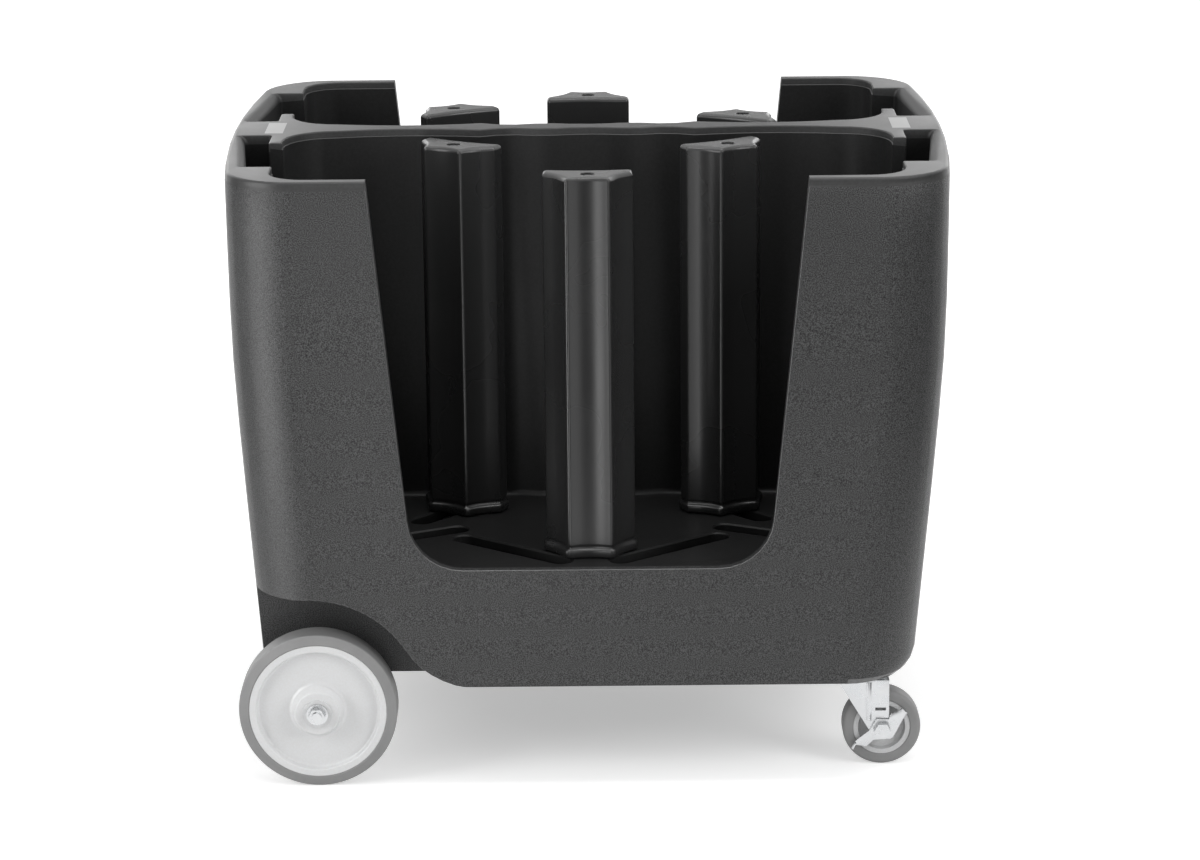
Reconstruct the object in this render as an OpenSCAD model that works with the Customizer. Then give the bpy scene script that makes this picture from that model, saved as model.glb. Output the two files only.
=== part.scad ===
// Plate dispenser cart: a one-piece moulded tub with two stacking bays, six
// sliding towers, a rear axle with two large wheels and two braked casters.
// It stands on z = 0 with its length along X and its width along Y. The large
// wheels are at the -X end and the casters at the +X end.

/* [Body] */
// Length over the bowed ends
body_length = 938; // [880:2:1020]
// Width over the two long sides
body_width = 732; // [700:4:790]
// Height of the rim above the ground
rim_height = 794; // [740:2:860]
// Height of the underside above the ground
underside_height = 130; // [127:1:136]
// Height of the stacking floor above the ground
floor_height = 290; // [282:2:320]
// Bow of each end in plan
end_bow = 24; // [4:2:30]
// Plan radius of the upright corners
corner_radius = 80; // [60:2:100]
// Radius of the lower edge at the ends
bottom_radius = 28; // [20:1:36]
// Radius of the lower edge along the sides
side_bottom_radius = 6; // [3:1:20]
// Radius of the rim edges
rim_radius = 4; // [3:0.5:8]
// Height at which the sides start to draw in
knee_height = 560; // [500:10:620]
// Draw-in of the wheel end for one unit of height below the knee
wheel_end_slope_share = 0.068; // [0.04:0.002:0.1]
// Draw-in of the caster end for one unit of height below the knee
caster_end_slope_share = 0.088; // [0.04:0.002:0.1]
// Draw-in of each long side for one unit of height below the knee
side_slope_share = 0.03; // [0.01:0.002:0.04]

/* [Bays] */
// Wall of the long sides at the rim
side_wall = 22; // [20:1:26]
// Distance from the middle of the cart to each end of the bays
bay_reach = 396; // [384:1:400]
// Plan radius of the bay corners at the long sides
bay_radius = 46; // [36:1:60]
// Plan radius of the bay corners at the divider
divider_radius = 64; // [50:1:70]
// Half thickness of the divider at its cusps
cusp_half = 25; // [22:1:28]
// Distance from the middle to the first pair of cusps
cusp_near = 59; // [50:1:70]
// Distance from the middle to the second pair of cusps
cusp_far = 142; // [130:1:155]
// Depth of the scallops between the cusps
scallop_depth = 12; // [6:1:14]
// Depth of the long plate arcs beside the scallops
plate_arc_depth = 11; // [4:1:14]
// Radius where the bay walls meet the floor
floor_fillet = 8; // [4:1:10]
// Height of the set-out band under the rim
band_height = 9; // [7:1:14]
// Set-out of that band
band_step = 1.5; // [1:0.25:3]
// Set-out of the band inside the bays
bay_step = 0.8; // [0.5:0.1:2]
// Draft of the bay walls for one unit of height
draft_share = 0.008; // [0.002:0.001:0.012]

/* [Cutouts] */
// Half width of each side cutout at the rim
cutout_half = 274; // [240:1:290]
// Narrowing of each cutout side for one unit of height
cutout_slope_share = 0.096; // [0.02:0.002:0.12]
// Radius of the lower cutout corners
cutout_radius = 70; // [40:1:80]
// Radius of the cutout edges
lip_radius = 1.5; // [1:0.5:4]

/* [Hand pockets] */
// Thickness of the fin beside the divider head
fin_thickness = 18; // [12:1:22]
// Half width of the divider head between the pockets
head_half = 50; // [46:1:60]
// Distance from the middle to the free end of each fin
fin_reach = 104; // [90:1:120]
// Distance from the middle to the far side of each pocket
pocket_reach = 260; // [230:1:270]
// Depth of the pockets below the rim
pocket_depth = 150; // [100:5:180]
// Width of a pocket beside the head
pocket_wide = 36; // [32:1:40]
// Width of a pocket at its far side
pocket_narrow = 15; // [12:1:22]
// Radius of the hand roll over the outer pocket edge
roll_radius = 12; // [6:1:12]

/* [Floor slots] */
// Width of a floor slot
slot_width = 30; // [27:1:33]
// Chamfer of the slot edges
slot_lip = 2; // [1:0.5:3]
// Thickness of the floor over the nut channels
floor_skin = 12; // [10:1:16]
// Width of a nut channel
channel_width = 52; // [49:1:58]
// Height of a nut channel
channel_height = 16; // [14:1:24]

/* [Towers] */
// Distance from the rim down to the tower tops
tower_drop = 8; // [4:1:24]
// Width over the wings
tower_width = 114; // [100:1:122]
// Depth from the wings to the narrow face
tower_depth = 61; // [54:1:66]
// Width of the narrow face
narrow_width = 56; // [46:1:60]
// Height of the blunt wing ends
wing_depth = 21; // [16:1:24]
// Radius of the tower edges
tower_radius = 5; // [3:0.5:6]
// Radius of the top edge
crown_radius = 6; // [4:1:8]
// Stand-out of the foot flange
foot_flange = 3; // [1.5:0.5:4]
// Height of the foot flange
foot_height = 12; // [8:1:18]
// Diameter of the tie bolts
tie_diameter = 10; // [8:1:12]
// Diameter of the recess for the bolt head
recess_diameter = 18; // [17:1:20]
// Turn of the side towers
side_turn = 30; // [20:1:35]

/* [Rear wheels] */
// Diameter of a rear wheel
rear_diameter = 203.2; // [196:0.2:210]
// Width of a rear tyre
rear_width = 42; // [36:1:44]
// Distance from the wheel end to the rear axle
axle_inset = 117; // [112:1:130]
// Distance from a long side to the middle of a rear wheel
wheel_inset = 32.5; // [28:0.5:40]
// Diameter of the axle
axle_diameter = 16; // [14:1:18]
// Radius of a wheel arch
arch_radius = 142; // [138:1:150]
// Distance from the middle of a rear wheel in to the wall of its arch
arch_depth = 52; // [44:1:60]
// Radius where an arch flares into the underside
flare_radius = 110; // [90:1:120]
// Radius of the arch edge
arch_lip = 5; // [3:0.5:7]

/* [Casters] */
// Diameter of a caster wheel
caster_diameter = 101.6; // [98:0.2:104]
// Width of a caster wheel
caster_width = 32; // [28:1:34]
// Distance from the caster end to the swivel axes
caster_end_inset = 125; // [120:1:140]
// Distance from a long side to a swivel axis
caster_side_inset = 90.5; // [86:0.5:120]
// Offset of the wheel from its swivel axis
caster_trail = 32; // [28:1:34]
// Thickness of the fork sheet
fork_sheet = 3; // [2.5:0.25:3.5]
// Length of a caster plate
plate_length = 82; // [76:1:96]
// Width of a caster plate
plate_width = 62; // [60:1:72]

/* [Hidden] */
$fn = 64;

// Clearances
slip = 0.3;            // between pieces that move against each other
bore_slip = 0.05;      // radial, between a shaft and its bore
bolt_slip = 0.5;       // radial, between a bolt and its clearance hole
wheel_gap = 3;         // between a caster wheel and its fork
overrun = 10;          // how far a cut runs past the face it opens

// Ring counts
arc_steps = 7;
edge_steps = 3;
end_steps = 6;
tower_steps = 2;
slot_fn = 24;
channel_fn = 12;
hole_fn = 12;

// Body levels
knee_blend = 40;
level_count = 8;
rim_line = 2;          // height of the fine line under the rim band

// Places that follow the body
axle_back = body_length / 2 - axle_inset;
rear_track = body_width - 2 * wheel_inset;
caster_forward = body_length / 2 - caster_end_inset;
caster_track = body_width - 2 * caster_side_inset;

// Towers
tower_top = rim_height - tower_drop;
tower_bottom = floor_height + slip;
wing_dish = 9;         // hollow of the wide face
side_dish = 6;         // hollow of the flanks
narrow_dish = 8;       // hollow of the narrow face
foot_neck = 1.5;       // set-in of the neck over the flange
spigot_radius = slot_width / 2 - slip;
spigot_depth = floor_skin - slip;
head_sink = 2.5;       // bolt head below the tower top
head_height = 6;
head_radius = recess_diameter / 2 - bolt_slip;
socket_radius = 3.4;
socket_depth = 3.5;
clamp_radius = channel_width / 2 * cos(180 / channel_fn) - 2 * slip;
clamp_thickness = 8;
nut_height = 6;
nut_radius = 9;

// Slot lines in the front bay, as shares of the bay reach and of half the width
v_inner_share = [0.096, 0.919];
v_outer_share = [0.417, 0.631];
diagonal_inner_share = [0.444, 0.512];
diagonal_outer_share = [0.732, 0.677];
side_inner_share = [0.439, 0.234];
side_outer_share = [0.568, 0.395];
centre_outer_share = [0, 0.849];
centre_inner_share = [0, 0.410];

// Where each tower stands along its slot, from its inner to its outer end
front_along_share = 0.947;
back_along_share = 0.868;
left_along_share = 0.02;
right_along_share = 0.17;
back_left_along_share = 0.07;
back_right_along_share = 0.71;

// Rear wheel
rear_radius = rear_diameter / 2;
rear_height = rear_radius;
tyre_depth = 13.4;
tyre_taper = 3;
rim_lip = 9;
rim_half = rear_width / 2 - 0.5;
web_half = 12;
boss_foot_radius = 34;
boss_radius = 28.5;
boss_out = rear_width / 2 + 9;
boss_in = rear_width / 2 - 1;
bush_radius = 12;
bush_flange_radius = 19;
bush_flange = 2;
washer_thickness = 2;
washer_radius = 14;
lock_nut_flats = 19;
lock_nut_height = 9;
axle_thread_radius = 6.5;
axle_end = 2.5;
tread_radius = 2.5;

// Axle brackets
arch_wall = rear_track / 2 - arch_depth;
arch_inset = 8;        // arch centre behind the axle
arch_rise = 6;         // arch centre above the axle
bracket_sheet = 5;
bracket_foot_length = 90;
bracket_foot_width = 56;
bracket_round = 22;
bracket_inset = 6;
spacer_radius = 13;
fixing_radius = 4;
fixing_head_radius = 7;
fixing_head = 5;
fixing_length = 22;
fixing_edge = 12;

// Caster
caster_radius = caster_diameter / 2;
caster_plate = 3.5;
race_radius = 27;
race_height = 9;
crown_gap = 0.4;
king_radius = 6;
king_head_radius = 9.5;
king_head = 4;
fork_half = caster_width / 2 + wheel_gap;
fork_top = underside_height - caster_plate - race_height - crown_gap;
leg_front = 9;
leg_back = 22;
leg_lower = 14;
leg_rise_share = 0.6;
leg_round = 12;
bead_width = 7;
bead_height = 1.5;
leg_slot_width = 14;
leg_slot_height = 4;
leg_slot_rise = 25;
caster_axle_radius = 4;
caster_head_flats = 13;
caster_head = 5;
caster_nut_flats = 19;
caster_nut = 9;
hub_radius = 37;
hub_lip = 6.5;
hub_web_half = 5;
hub_boss_radius = 13;
sleeve_radius = 7;
caster_tread_radius = 5;
rocker_sheet = 2.5;
rocker_size = 36;
rocker_tab = 8;
rocker_tab_width = 9;
rocker_high_turn = 45;
rocker_low_turn = 65;

// Corners of the brake rocker about its axle, as shares of its size
rocker_shares = [
    [-0.3, -0.4], [0.32, -0.36], [0.4, -0.3], [0.9, 0.66], [0.76, 0.76], [0.32, 0.6],
    [0.24, 0.38], [-0.2, 0.4], [-0.46, -0.04], [-0.72, -0.24], [-1, -0.46], [-0.98, -0.58],
    [-0.56, -0.64]
];

// Draw-in below the knee, which starts softly over the blend length
function soft(t) = (t + sqrt(t * t + 4 * knee_blend * knee_blend)) / 2;
function end_inset(z, share) = share * soft(knee_height - z);
function side_inset(z) = side_slope_share * soft(knee_height - z);

// Points of an arc in the plane
function arc(centre, radius, from, to, steps) = [
    for (i = [0:steps])
        let (a = from + (to - from) * i / steps)
        centre + radius * [cos(a), sin(a)]
];

function reversed(list) = [for (i = [len(list) - 1:-1:0]) list[i]];

// The turn from one angle to another the short way round
function short_turn(turn) = turn > 180 ? turn - 360 : turn < -180 ? turn + 360 : turn;

// Points of the fillet at corner b of the path a, b, c
function fillet(a, b, c, radius, steps) =
    let (
        u = (a - b) / norm(a - b),
        v = (c - b) / norm(c - b),
        half = acos(max(-1, min(1, u * v))) / 2,
        centre = b + (u + v) / norm(u + v) * radius / sin(half),
        p = b + u * radius / tan(half) - centre,
        q = b + v * radius / tan(half) - centre,
        from = atan2(p[1], p[0]),
        turn = short_turn(atan2(q[1], q[0]) - from)
    )
    arc(centre, radius, from, from + turn, steps);

// A closed outline with a fillet at each corner
function rounded(points, radii, steps) =
    let (n = len(points))
    [for (i = [0:n - 1])
        each fillet(points[(i + n - 1) % n], points[i], points[(i + 1) % n], radii[i], steps)];

// Places a flat ring at height z
function at_height(ring, z) = [for (p = ring) [p[0], p[1], z]];

// A closed solid through rings of equal length, counterclockwise along its rise
module loft(rings) {
    n = len(rings[0]);
    m = len(rings);
    points = [for (ring = rings) each ring];
    sides = [
        for (i = [0:m - 2], j = [0:n - 1])
            let (k = (j + 1) % n)
            each [
                [i * n + j, (i + 1) * n + j, (i + 1) * n + k],
                [i * n + j, (i + 1) * n + k, i * n + k]
            ]
    ];
    bottom = [[for (j = [0:n - 1]) j]];
    top = [[for (j = [n - 1:-1:0]) (m - 1) * n + j]];
    polyhedron(points, concat(bottom, sides, top));
}

// Half plan of the tub at its caster end: a rounded rectangle whose end bows outwards
function end_half(z, end, side, share) =
    let (
        hx = body_length / 2 - end_bow - end_inset(z, share) - end,
        hy = body_width / 2 - side_inset(z) - side,
        r = corner_radius - end,
        flat = [for (i = [1:end_steps - 1]) [hx, (hy - r) * (2 * i / end_steps - 1)]],
        half = concat(
            arc([hx - r, r - hy], r, -90, 0, arc_steps),
            flat,
            arc([hx - r, hy - r], r, 0, 90, arc_steps)
        )
    )
    [for (p = half) [p[0] * (1 + end_bow / hx * (1 - pow(p[1] / hy, 2))), p[1]]];

// Plan of the tub, set in at the ends and along the sides
function tub_ring(z, end, side) =
    at_height(concat(
        end_half(z, end, side, caster_end_slope_share),
        -end_half(z, end, side, wheel_end_slope_share)
    ), z);

// Set-in of a rounded lower edge at a height above its foot
function edge_inset(radius, h) = h >= radius ? 0 : radius - sqrt(radius * radius - pow(radius - h, 2));

module tub_outside() {
    low = underside_height + bottom_radius;
    high = rim_height - band_height - rim_line;
    loft(concat(
        [for (i = [0:edge_steps + 1])
            let (a = 90 * i / (edge_steps + 1), h = bottom_radius * (1 - cos(a)))
            tub_ring(underside_height + h, bottom_radius * (1 - sin(a)), edge_inset(side_bottom_radius, h))],
        [for (i = [1:level_count]) tub_ring(low + (high - low) * i / level_count, 0, 0)],
        [tub_ring(high + rim_line, band_step, band_step)],
        [for (i = [0:edge_steps])
            let (a = 90 * i / edge_steps, inset = band_step + rim_radius * (1 - cos(a)))
            tub_ring(rim_height - rim_radius * (1 - sin(a)), inset, inset)]
    ));
}

// Hollow of a scallop between two cusps
function scallop(x, from, to, depth) = depth * (1 - pow((2 * x - from - to) / (to - from), 2));
function divider_half(x) =
    cusp_half - (
        x < cusp_near ? scallop(x, -cusp_near, cusp_near, scallop_depth)
        : x < cusp_far ? scallop(x, cusp_near, cusp_far, scallop_depth)
        : scallop(x, cusp_far, bay_reach - divider_radius, plate_arc_depth));
function stations(from, to, steps) = [for (i = [1:steps]) from + (to - from) * i / steps];

// Plan of the front bay, grown by a set-out
function bay_ring(z, out) =
    let (
        reach = bay_reach + out,
        front = body_width / 2 - side_wall + out,
        r = bay_radius + out,
        q = divider_radius + out,
        start = bay_reach - divider_radius,
        along = concat(
            stations(start, cusp_far, arc_steps),
            stations(cusp_far, cusp_near, arc_steps / 2),
            stations(cusp_near, 0, arc_steps / 2)
        ),
        right = concat(
            arc([reach - r, r - front], r, -90, 0, arc_steps),
            arc([reach - q, out - cusp_half - q], q, 0, 90, arc_steps),
            [for (x = along) [x, out - divider_half(x)]]
        ),
        left = [for (i = [len(right) - 2:-1:0]) [-right[i][0], right[i][1]]]
    )
    at_height(concat(right, left), z);
function bay_draft(z) = -draft_share * (rim_height - z);

module bay_space() {
    band = rim_height - band_height;
    loft(concat(
        [for (i = [0:edge_steps])
            let (a = 90 * i / edge_steps, z = floor_height + floor_fillet * (1 - cos(a)))
            bay_ring(z, bay_draft(z) - floor_fillet * (1 - sin(a)))],
        [bay_ring(band - bay_step, bay_draft(band)), bay_ring(band, bay_step)],
        [for (i = [0:edge_steps])
            let (a = 90 * i / edge_steps)
            bay_ring(rim_height - rim_radius / 2 * (1 - sin(a)),
                     bay_step + rim_radius / 2 * (1 - cos(a)))],
        [bay_ring(rim_height + overrun, bay_step + rim_radius / 2)]
    ));
}

// Half outline of a side cutout from its bottom up, grown sideways and down
function cutout_side(out, down) =
    let (
        low = floor_height - down,
        foot = cutout_half - cutout_slope_share * (rim_height - low) + out,
        head = cutout_half + cutout_slope_share * overrun + out,
        top = rim_height + overrun,
        curve = fillet([0, low], [foot, low], [head, top], cutout_radius + out, arc_steps),
        last = curve[len(curve) - 1]
    )
    concat(curve, [for (i = [1:level_count]) last + ([head, top] - last) * i / level_count]);

// Ring of the cutout tool, set in from the outer wall face or out from the inner
function cutout_ring(out, down, outer, depth) =
    let (
        side = cutout_side(out, down),
        path = concat([for (p = side) [-p[0], p[1]]], reversed(side))
    )
    [for (p = path)
        let (face = body_width / 2 - (outer ? side_inset(min(p[1], rim_height)) : side_wall))
        [p[0], depth - face, p[1]]];

module cutout() {
    loft(concat(
        [cutout_ring(lip_radius, lip_radius, true, -overrun)],
        [for (i = [0:edge_steps])
            let (a = 90 * i / edge_steps)
            cutout_ring(lip_radius * (1 - sin(a)), lip_radius * (1 - sin(a)), true,
                        lip_radius * (1 - cos(a)))],
        [for (i = [edge_steps:-1:0])
            let (a = 90 * i / edge_steps)
            cutout_ring(lip_radius * (1 - sin(a)), 0, false, -lip_radius * (1 - cos(a)))],
        [cutout_ring(lip_radius, 0, false, 2 * overrun)]
    ));
}

// Plan of a hand pocket, which opens into the bay past the free end of its fin
function pocket_ring(z, out, roll) =
    let (
        inner = bay_reach + fin_thickness - out,
        gap = bay_reach - overrun,
        near = head_half - out,
        far = pocket_reach + out,
        stub = fin_reach - out,
        corner = tower_radius + out
    )
    at_height(rounded(
        [
            [inner, near], [bay_reach + fin_thickness + pocket_wide + roll, near],
            [bay_reach + fin_thickness + pocket_narrow + roll, far],
            [gap, far], [gap, stub], [inner, stub]
        ],
        [corner, corner, corner, rim_radius, rim_radius, rim_radius / 2], edge_steps), z);

module pocket() {
    bottom = rim_height - pocket_depth;
    edge = rim_radius / 2;
    loft(concat(
        [pocket_ring(bottom, -rim_radius, -rim_radius), pocket_ring(bottom + rim_radius, 0, 0)],
        [for (i = [0:edge_steps + 1])
            let (
                a = 90 * i / (edge_steps + 1),
                rise = roll_radius * sin(a) - roll_radius + edge,
                turn = rise > 0 ? edge - sqrt(edge * edge - rise * rise) : 0
            )
            pocket_ring(rim_height - roll_radius * (1 - sin(a)), turn, roll_radius * (1 - cos(a)))],
        [pocket_ring(rim_height + overrun, edge, roll_radius)]
    ));
}

// Distance from the middle to the tub's front face at a place near the wheel end
function face_at(x, z, bow) =
    let (
        hx = body_length / 2 - end_bow - end_inset(z, wheel_end_slope_share),
        hy = body_width / 2 - side_inset(z),
        r = corner_radius,
        run = min(max(-x / (1 + end_bow / hx * bow) - hx + r, 0), r)
    )
    max(hy - r + sqrt(r * r - run * run), arch_wall + 2 * arch_lip);

// Side view of the space round a rear wheel, open to the end and to the ground, grown by a set-out
function arch_path(out) =
    let (
        r = arch_radius + out,
        flare = flare_radius - out,
        centre = [-axle_back - arch_inset, rear_height + arch_rise],
        rise = underside_height + flare - centre[1],
        run = sqrt(pow(r + flare, 2) - rise * rise),
        tangent = atan2(rise, run),
        foot = [centre[0] + run, underside_height - overrun]
    )
    concat(
        [[-body_length, foot[1]], [-body_length, centre[1] + r]],
        reversed(arc(centre, r, tangent, 90, arc_steps * 2)),
        arc([foot[0], underside_height + flare], flare, 180 + tangent, 270, arc_steps),
        [foot]
    );

// Ring of the arch tool at a depth behind the front face
function arch_ring(out, depth) = [
    for (p = arch_path(out))
        let (
            hy = body_width / 2 - side_inset(p[1]),
            first = face_at(p[0], p[1], 0),
            face = face_at(p[0], p[1], 1 - pow(first / hy, 2))
        )
        [p[0], depth - face, p[1]]
];

module arch_space() {
    loft(concat(
        [[for (p = arch_path(arch_lip)) [p[0], -body_width / 2 - overrun, p[1]]]],
        [for (i = [0:edge_steps])
            let (a = 90 * i / edge_steps)
            arch_ring(arch_lip * (1 - sin(a)), arch_lip * (1 - cos(a)))],
        [[for (p = arch_path(0)) [p[0], -arch_wall, p[1]]]]
    ));
}

// Points of the front bay from shares of the bay reach and of half the width
function bay_point(share) = [share[0] * bay_reach, -share[1] * (body_width / 2 - side_wall)];
function mirrored_x(p) = [-p[0], p[1]];
function mirrored_y(p) = [p[0], -p[1]];
function along(a, b, share) = a + (b - a) * share;

v_inner = bay_point(v_inner_share);
v_outer = bay_point(v_outer_share);
diagonal_inner = bay_point(diagonal_inner_share);
diagonal_outer = bay_point(diagonal_outer_share);
side_inner = bay_point(side_inner_share);
side_outer = bay_point(side_outer_share);
centre_outer = bay_point(centre_outer_share);
centre_inner = bay_point(centre_inner_share);

SLOTS = concat(
    [[centre_inner, centre_outer]],
    [for (pair = [[v_inner, v_outer], [diagonal_inner, diagonal_outer], [side_inner, side_outer]])
        each [pair, [mirrored_x(pair[0]), mirrored_x(pair[1])]]]
);

// Tower places, each on the line of its slot
front_spot = along(centre_inner, centre_outer, front_along_share);
left_spot = mirrored_x(along(side_inner, side_outer, left_along_share));
right_spot = along(side_inner, side_outer, right_along_share);
back_spot = mirrored_y(along(centre_inner, centre_outer, back_along_share));
back_left_spot = -along(diagonal_inner, diagonal_outer, back_left_along_share);
back_right_spot = mirrored_y(along(side_inner, side_outer, back_right_along_share));

module slot_cut(ends, width, low, high) {
    translate([0, 0, low])
        linear_extrude(high - low)
            hull() {
                translate(ends[0]) circle(d = width);
                translate(ends[1]) circle(d = width);
            }
}

module bay_slots() {
    channel_top = floor_height - floor_skin;
    for (ends = SLOTS) {
        slot_cut(ends, slot_width, channel_top - slip, floor_height + overrun, $fn = slot_fn);
        slot_cut(ends, channel_width, channel_top - channel_height, channel_top, $fn = channel_fn);
        slot_chamfer(ends);
    }
}

module slot_chamfer(ends) {
    hull()
        for (p = ends)
            translate([each p, floor_height - slot_lip])
                cylinder(r1 = slot_width / 2, r2 = slot_width / 2 + 2 * slot_lip, h = 2 * slot_lip,
                         $fn = slot_fn);
}

// Both caster places, and both bracket places
function caster_spot(side) = [caster_forward, side * caster_track / 2];
function bracket_spot(side) = [-axle_back, side * (arch_wall - bracket_inset)];
function plate_holes() = [
    for (i = [-1, 1], j = [-1, 1])
        [i * (plate_length / 2 - fixing_edge), j * (plate_width / 2 - fixing_edge)]
];
function foot_holes(side) = [
    for (i = [-1, 1], j = [1, 3])
        [i * (bracket_foot_length / 2 - fixing_edge), -side * j * bracket_foot_width / 4]
];

module fixing_holes() {
    for (side = [-1, 1]) {
        for (p = plate_holes())
            translate([each (caster_spot(side) + p), underside_height - overrun])
                cylinder(r = fixing_radius + bolt_slip, h = fixing_length + overrun, $fn = hole_fn);
        for (p = foot_holes(side))
            translate([each (bracket_spot(side) + p), underside_height - overrun])
                cylinder(r = fixing_radius + bolt_slip, h = fixing_length + overrun, $fn = hole_fn);
    }
}

module body_tub() {
    color([0.23, 0.23, 0.235])
        difference() {
            tub_outside();
            for (side = [0, 1])
                mirror([0, side, 0]) {
                    bay_space();
                    cutout();
                    bay_slots();
                    arch_space();
                    for (end = [0, 1])
                        mirror([end, 0, 0])
                            mirror([0, 1, 0]) pocket();
                }
            fixing_holes();
        }
}

// Section of a tower: blunt wings behind, hollow faces, a narrow face in front
function tower_ring(z, out) =
    let (
        wing = tower_width / 2 + out,
        back = tower_depth / 2 + out,
        front = tower_depth / 2 + out,
        shoulder = tower_depth / 2 - wing_depth - out,
        narrow = narrow_width / 2 + out,
        r = tower_radius + max(out, -tower_radius / 2)
    )
    at_height(rounded(
        [
            [0, narrow_dish - front], [narrow, -front],
            [(wing + narrow) / 2 - side_dish, (shoulder - front) / 2], [wing, shoulder],
            [wing, back], [0, back - wing_dish], [-wing, back],
            [-wing, shoulder], [side_dish - (wing + narrow) / 2, (shoulder - front) / 2],
            [-narrow, -front]
        ],
        [
            tower_width * 0.65, r, tower_width * 0.6, r, r,
            tower_width * 2.4, r, r, tower_width * 0.6, r
        ], tower_steps), z);

module tower(spot, turn) {
    low = tower_bottom;
    flange = low + foot_height;
    color([0.1, 0.1, 0.105])
        translate([each spot, 0])
            rotate([0, 0, turn])
                difference() {
                    union() {
                        loft(concat(
                            [tower_ring(low, 0), tower_ring(low + foot_flange, foot_flange)],
                            [tower_ring(flange - foot_flange, foot_flange), tower_ring(flange, 0)],
                            [tower_ring(flange + foot_flange, -foot_neck)],
                            [tower_ring(flange + 2 * foot_flange, 0)],
                            [for (i = [0:edge_steps])
                                let (a = 90 * i / edge_steps)
                                tower_ring(tower_top - crown_radius * (1 - sin(a)),
                                           -crown_radius * (1 - cos(a)))]
                        ));
                        translate([0, 0, low - slip - spigot_depth])
                            cylinder(r = spigot_radius, h = spigot_depth + 2 * slip);
                    }
                    translate([0, 0, floor_height - floor_skin - overrun])
                        cylinder(r = tie_diameter / 2 + bolt_slip, h = rim_height);
                    translate([0, 0, tower_top - head_sink - head_height])
                        cylinder(d = recess_diameter, h = head_sink + head_height + overrun);
                }
}

// Tie bolt with a domed socket head, down through its tower to the clamp nut
module tie_bolt(spot) {
    seat = tower_top - head_sink - head_height;
    foot = floor_height - floor_skin - slip - clamp_thickness;
    color([0.55, 0.55, 0.56])
        translate([each spot, 0])
            difference() {
                union() {
                    translate([0, 0, foot - nut_height])
                        cylinder(d = tie_diameter, h = seat - foot + nut_height);
                    translate([0, 0, seat])
                        cylinder(r1 = head_radius, r2 = head_radius * 0.7, h = head_height);
                }
                translate([0, 0, seat + head_height - socket_depth])
                    cylinder(r = socket_radius, h = socket_depth + overrun, $fn = 6);
            }
}

// Round clamp plate with a hex boss, captive in the channel under the floor
module clamp_nut(spot) {
    top = floor_height - floor_skin - slip;
    color("silver")
        translate([each spot, top - clamp_thickness])
            difference() {
                union() {
                    cylinder(r = clamp_radius, h = clamp_thickness);
                    translate([0, 0, -nut_height])
                        cylinder(r = nut_radius, h = nut_height, $fn = 6);
                }
                translate([0, 0, -nut_height - overrun])
                    cylinder(r = tie_diameter / 2 + bore_slip, h = clamp_thickness + nut_height + 2 * overrun);
            }
}

// Lays a revolved profile of [radius, distance out] on the rear axle, side -1 or 1
module on_rear_axle(side) {
    translate([-axle_back, side * rear_track / 2, rear_height])
        rotate([side * -90, 0, 0])
            rotate_extrude($fn = 128)
                children();
}

module rear_hub(side) {
    edge = rear_radius - tyre_depth;
    color([0.85, 0.85, 0.85])
        on_rear_axle(side)
            polygon(rounded(
                [
                    [bush_radius + bore_slip, -boss_in], [boss_radius, -boss_in],
                    [boss_foot_radius, -web_half], [edge - rim_lip, -web_half],
                    [edge - rim_lip, -rim_half], [edge, -rim_half],
                    [edge, rim_half], [edge - rim_lip, rim_half],
                    [edge - rim_lip, web_half], [boss_foot_radius, web_half],
                    [boss_radius, boss_out], [bush_radius + bore_slip, boss_out]
                ],
                [for (share = [1, 3, 3, 3, 1.5, 1, 1, 1.5, 3, 6, 2, 1]) share * rim_lip / 9],
                edge_steps));
}

module rear_tyre(side) {
    edge = rear_radius - tyre_depth + bore_slip;
    half = rear_width / 2;
    color([0.42, 0.42, 0.42])
        on_rear_axle(side)
            polygon(rounded(
                [
                    [edge, -rim_half], [edge + tyre_taper / 2, -half], [rear_radius, tyre_taper - half],
                    [rear_radius, half - tyre_taper], [edge + tyre_taper / 2, half], [edge, rim_half]
                ],
                [for (share = [0.1, 0.2, 1, 1, 0.2, 0.1]) share * tread_radius],
                edge_steps));
}

// Flanged bush pressed into the hub and running on the axle
module rear_bush(side) {
    color([0.75, 0.75, 0.75])
        on_rear_axle(side)
            polygon([
                [axle_diameter / 2 + bore_slip, -boss_in], [bush_radius, -boss_in],
                [bush_radius, boss_out], [bush_flange_radius, boss_out],
                [bush_flange_radius, boss_out + bush_flange],
                [axle_diameter / 2 + bore_slip, boss_out + bush_flange]
            ]);
}

washer_out = boss_out + bush_flange + slip;

module rear_washer(side) {
    color("silver")
        on_rear_axle(side)
            translate([axle_thread_radius + bore_slip, washer_out])
                square([washer_radius - axle_thread_radius - bore_slip, washer_thickness]);
}

module hex_nut(flats, height, bore) {
    difference() {
        cylinder(r = flats / sqrt(3), h = height, $fn = 6);
        translate([0, 0, -overrun])
            cylinder(r = bore, h = height + 2 * overrun);
    }
}

module rear_nut(side) {
    color("silver")
        translate([-axle_back, side * (rear_track / 2 + washer_out + washer_thickness), rear_height])
            rotate([side * -90, 0, 0])
                hex_nut(lock_nut_flats, lock_nut_height, axle_thread_radius + bore_slip);
}

// Axle through both brackets and wheels, stepped down to its threaded ends
module rear_axle() {
    shoulder = rear_track / 2 + washer_out;
    end = shoulder + washer_thickness + lock_nut_height + axle_end;
    color("silver")
        translate([-axle_back, 0, rear_height])
            rotate([90, 0, 0])
                union() {
                    cylinder(d = axle_diameter, h = 2 * shoulder, center = true);
                    cylinder(r = axle_thread_radius, h = 2 * end, center = true);
                }
}

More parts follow.
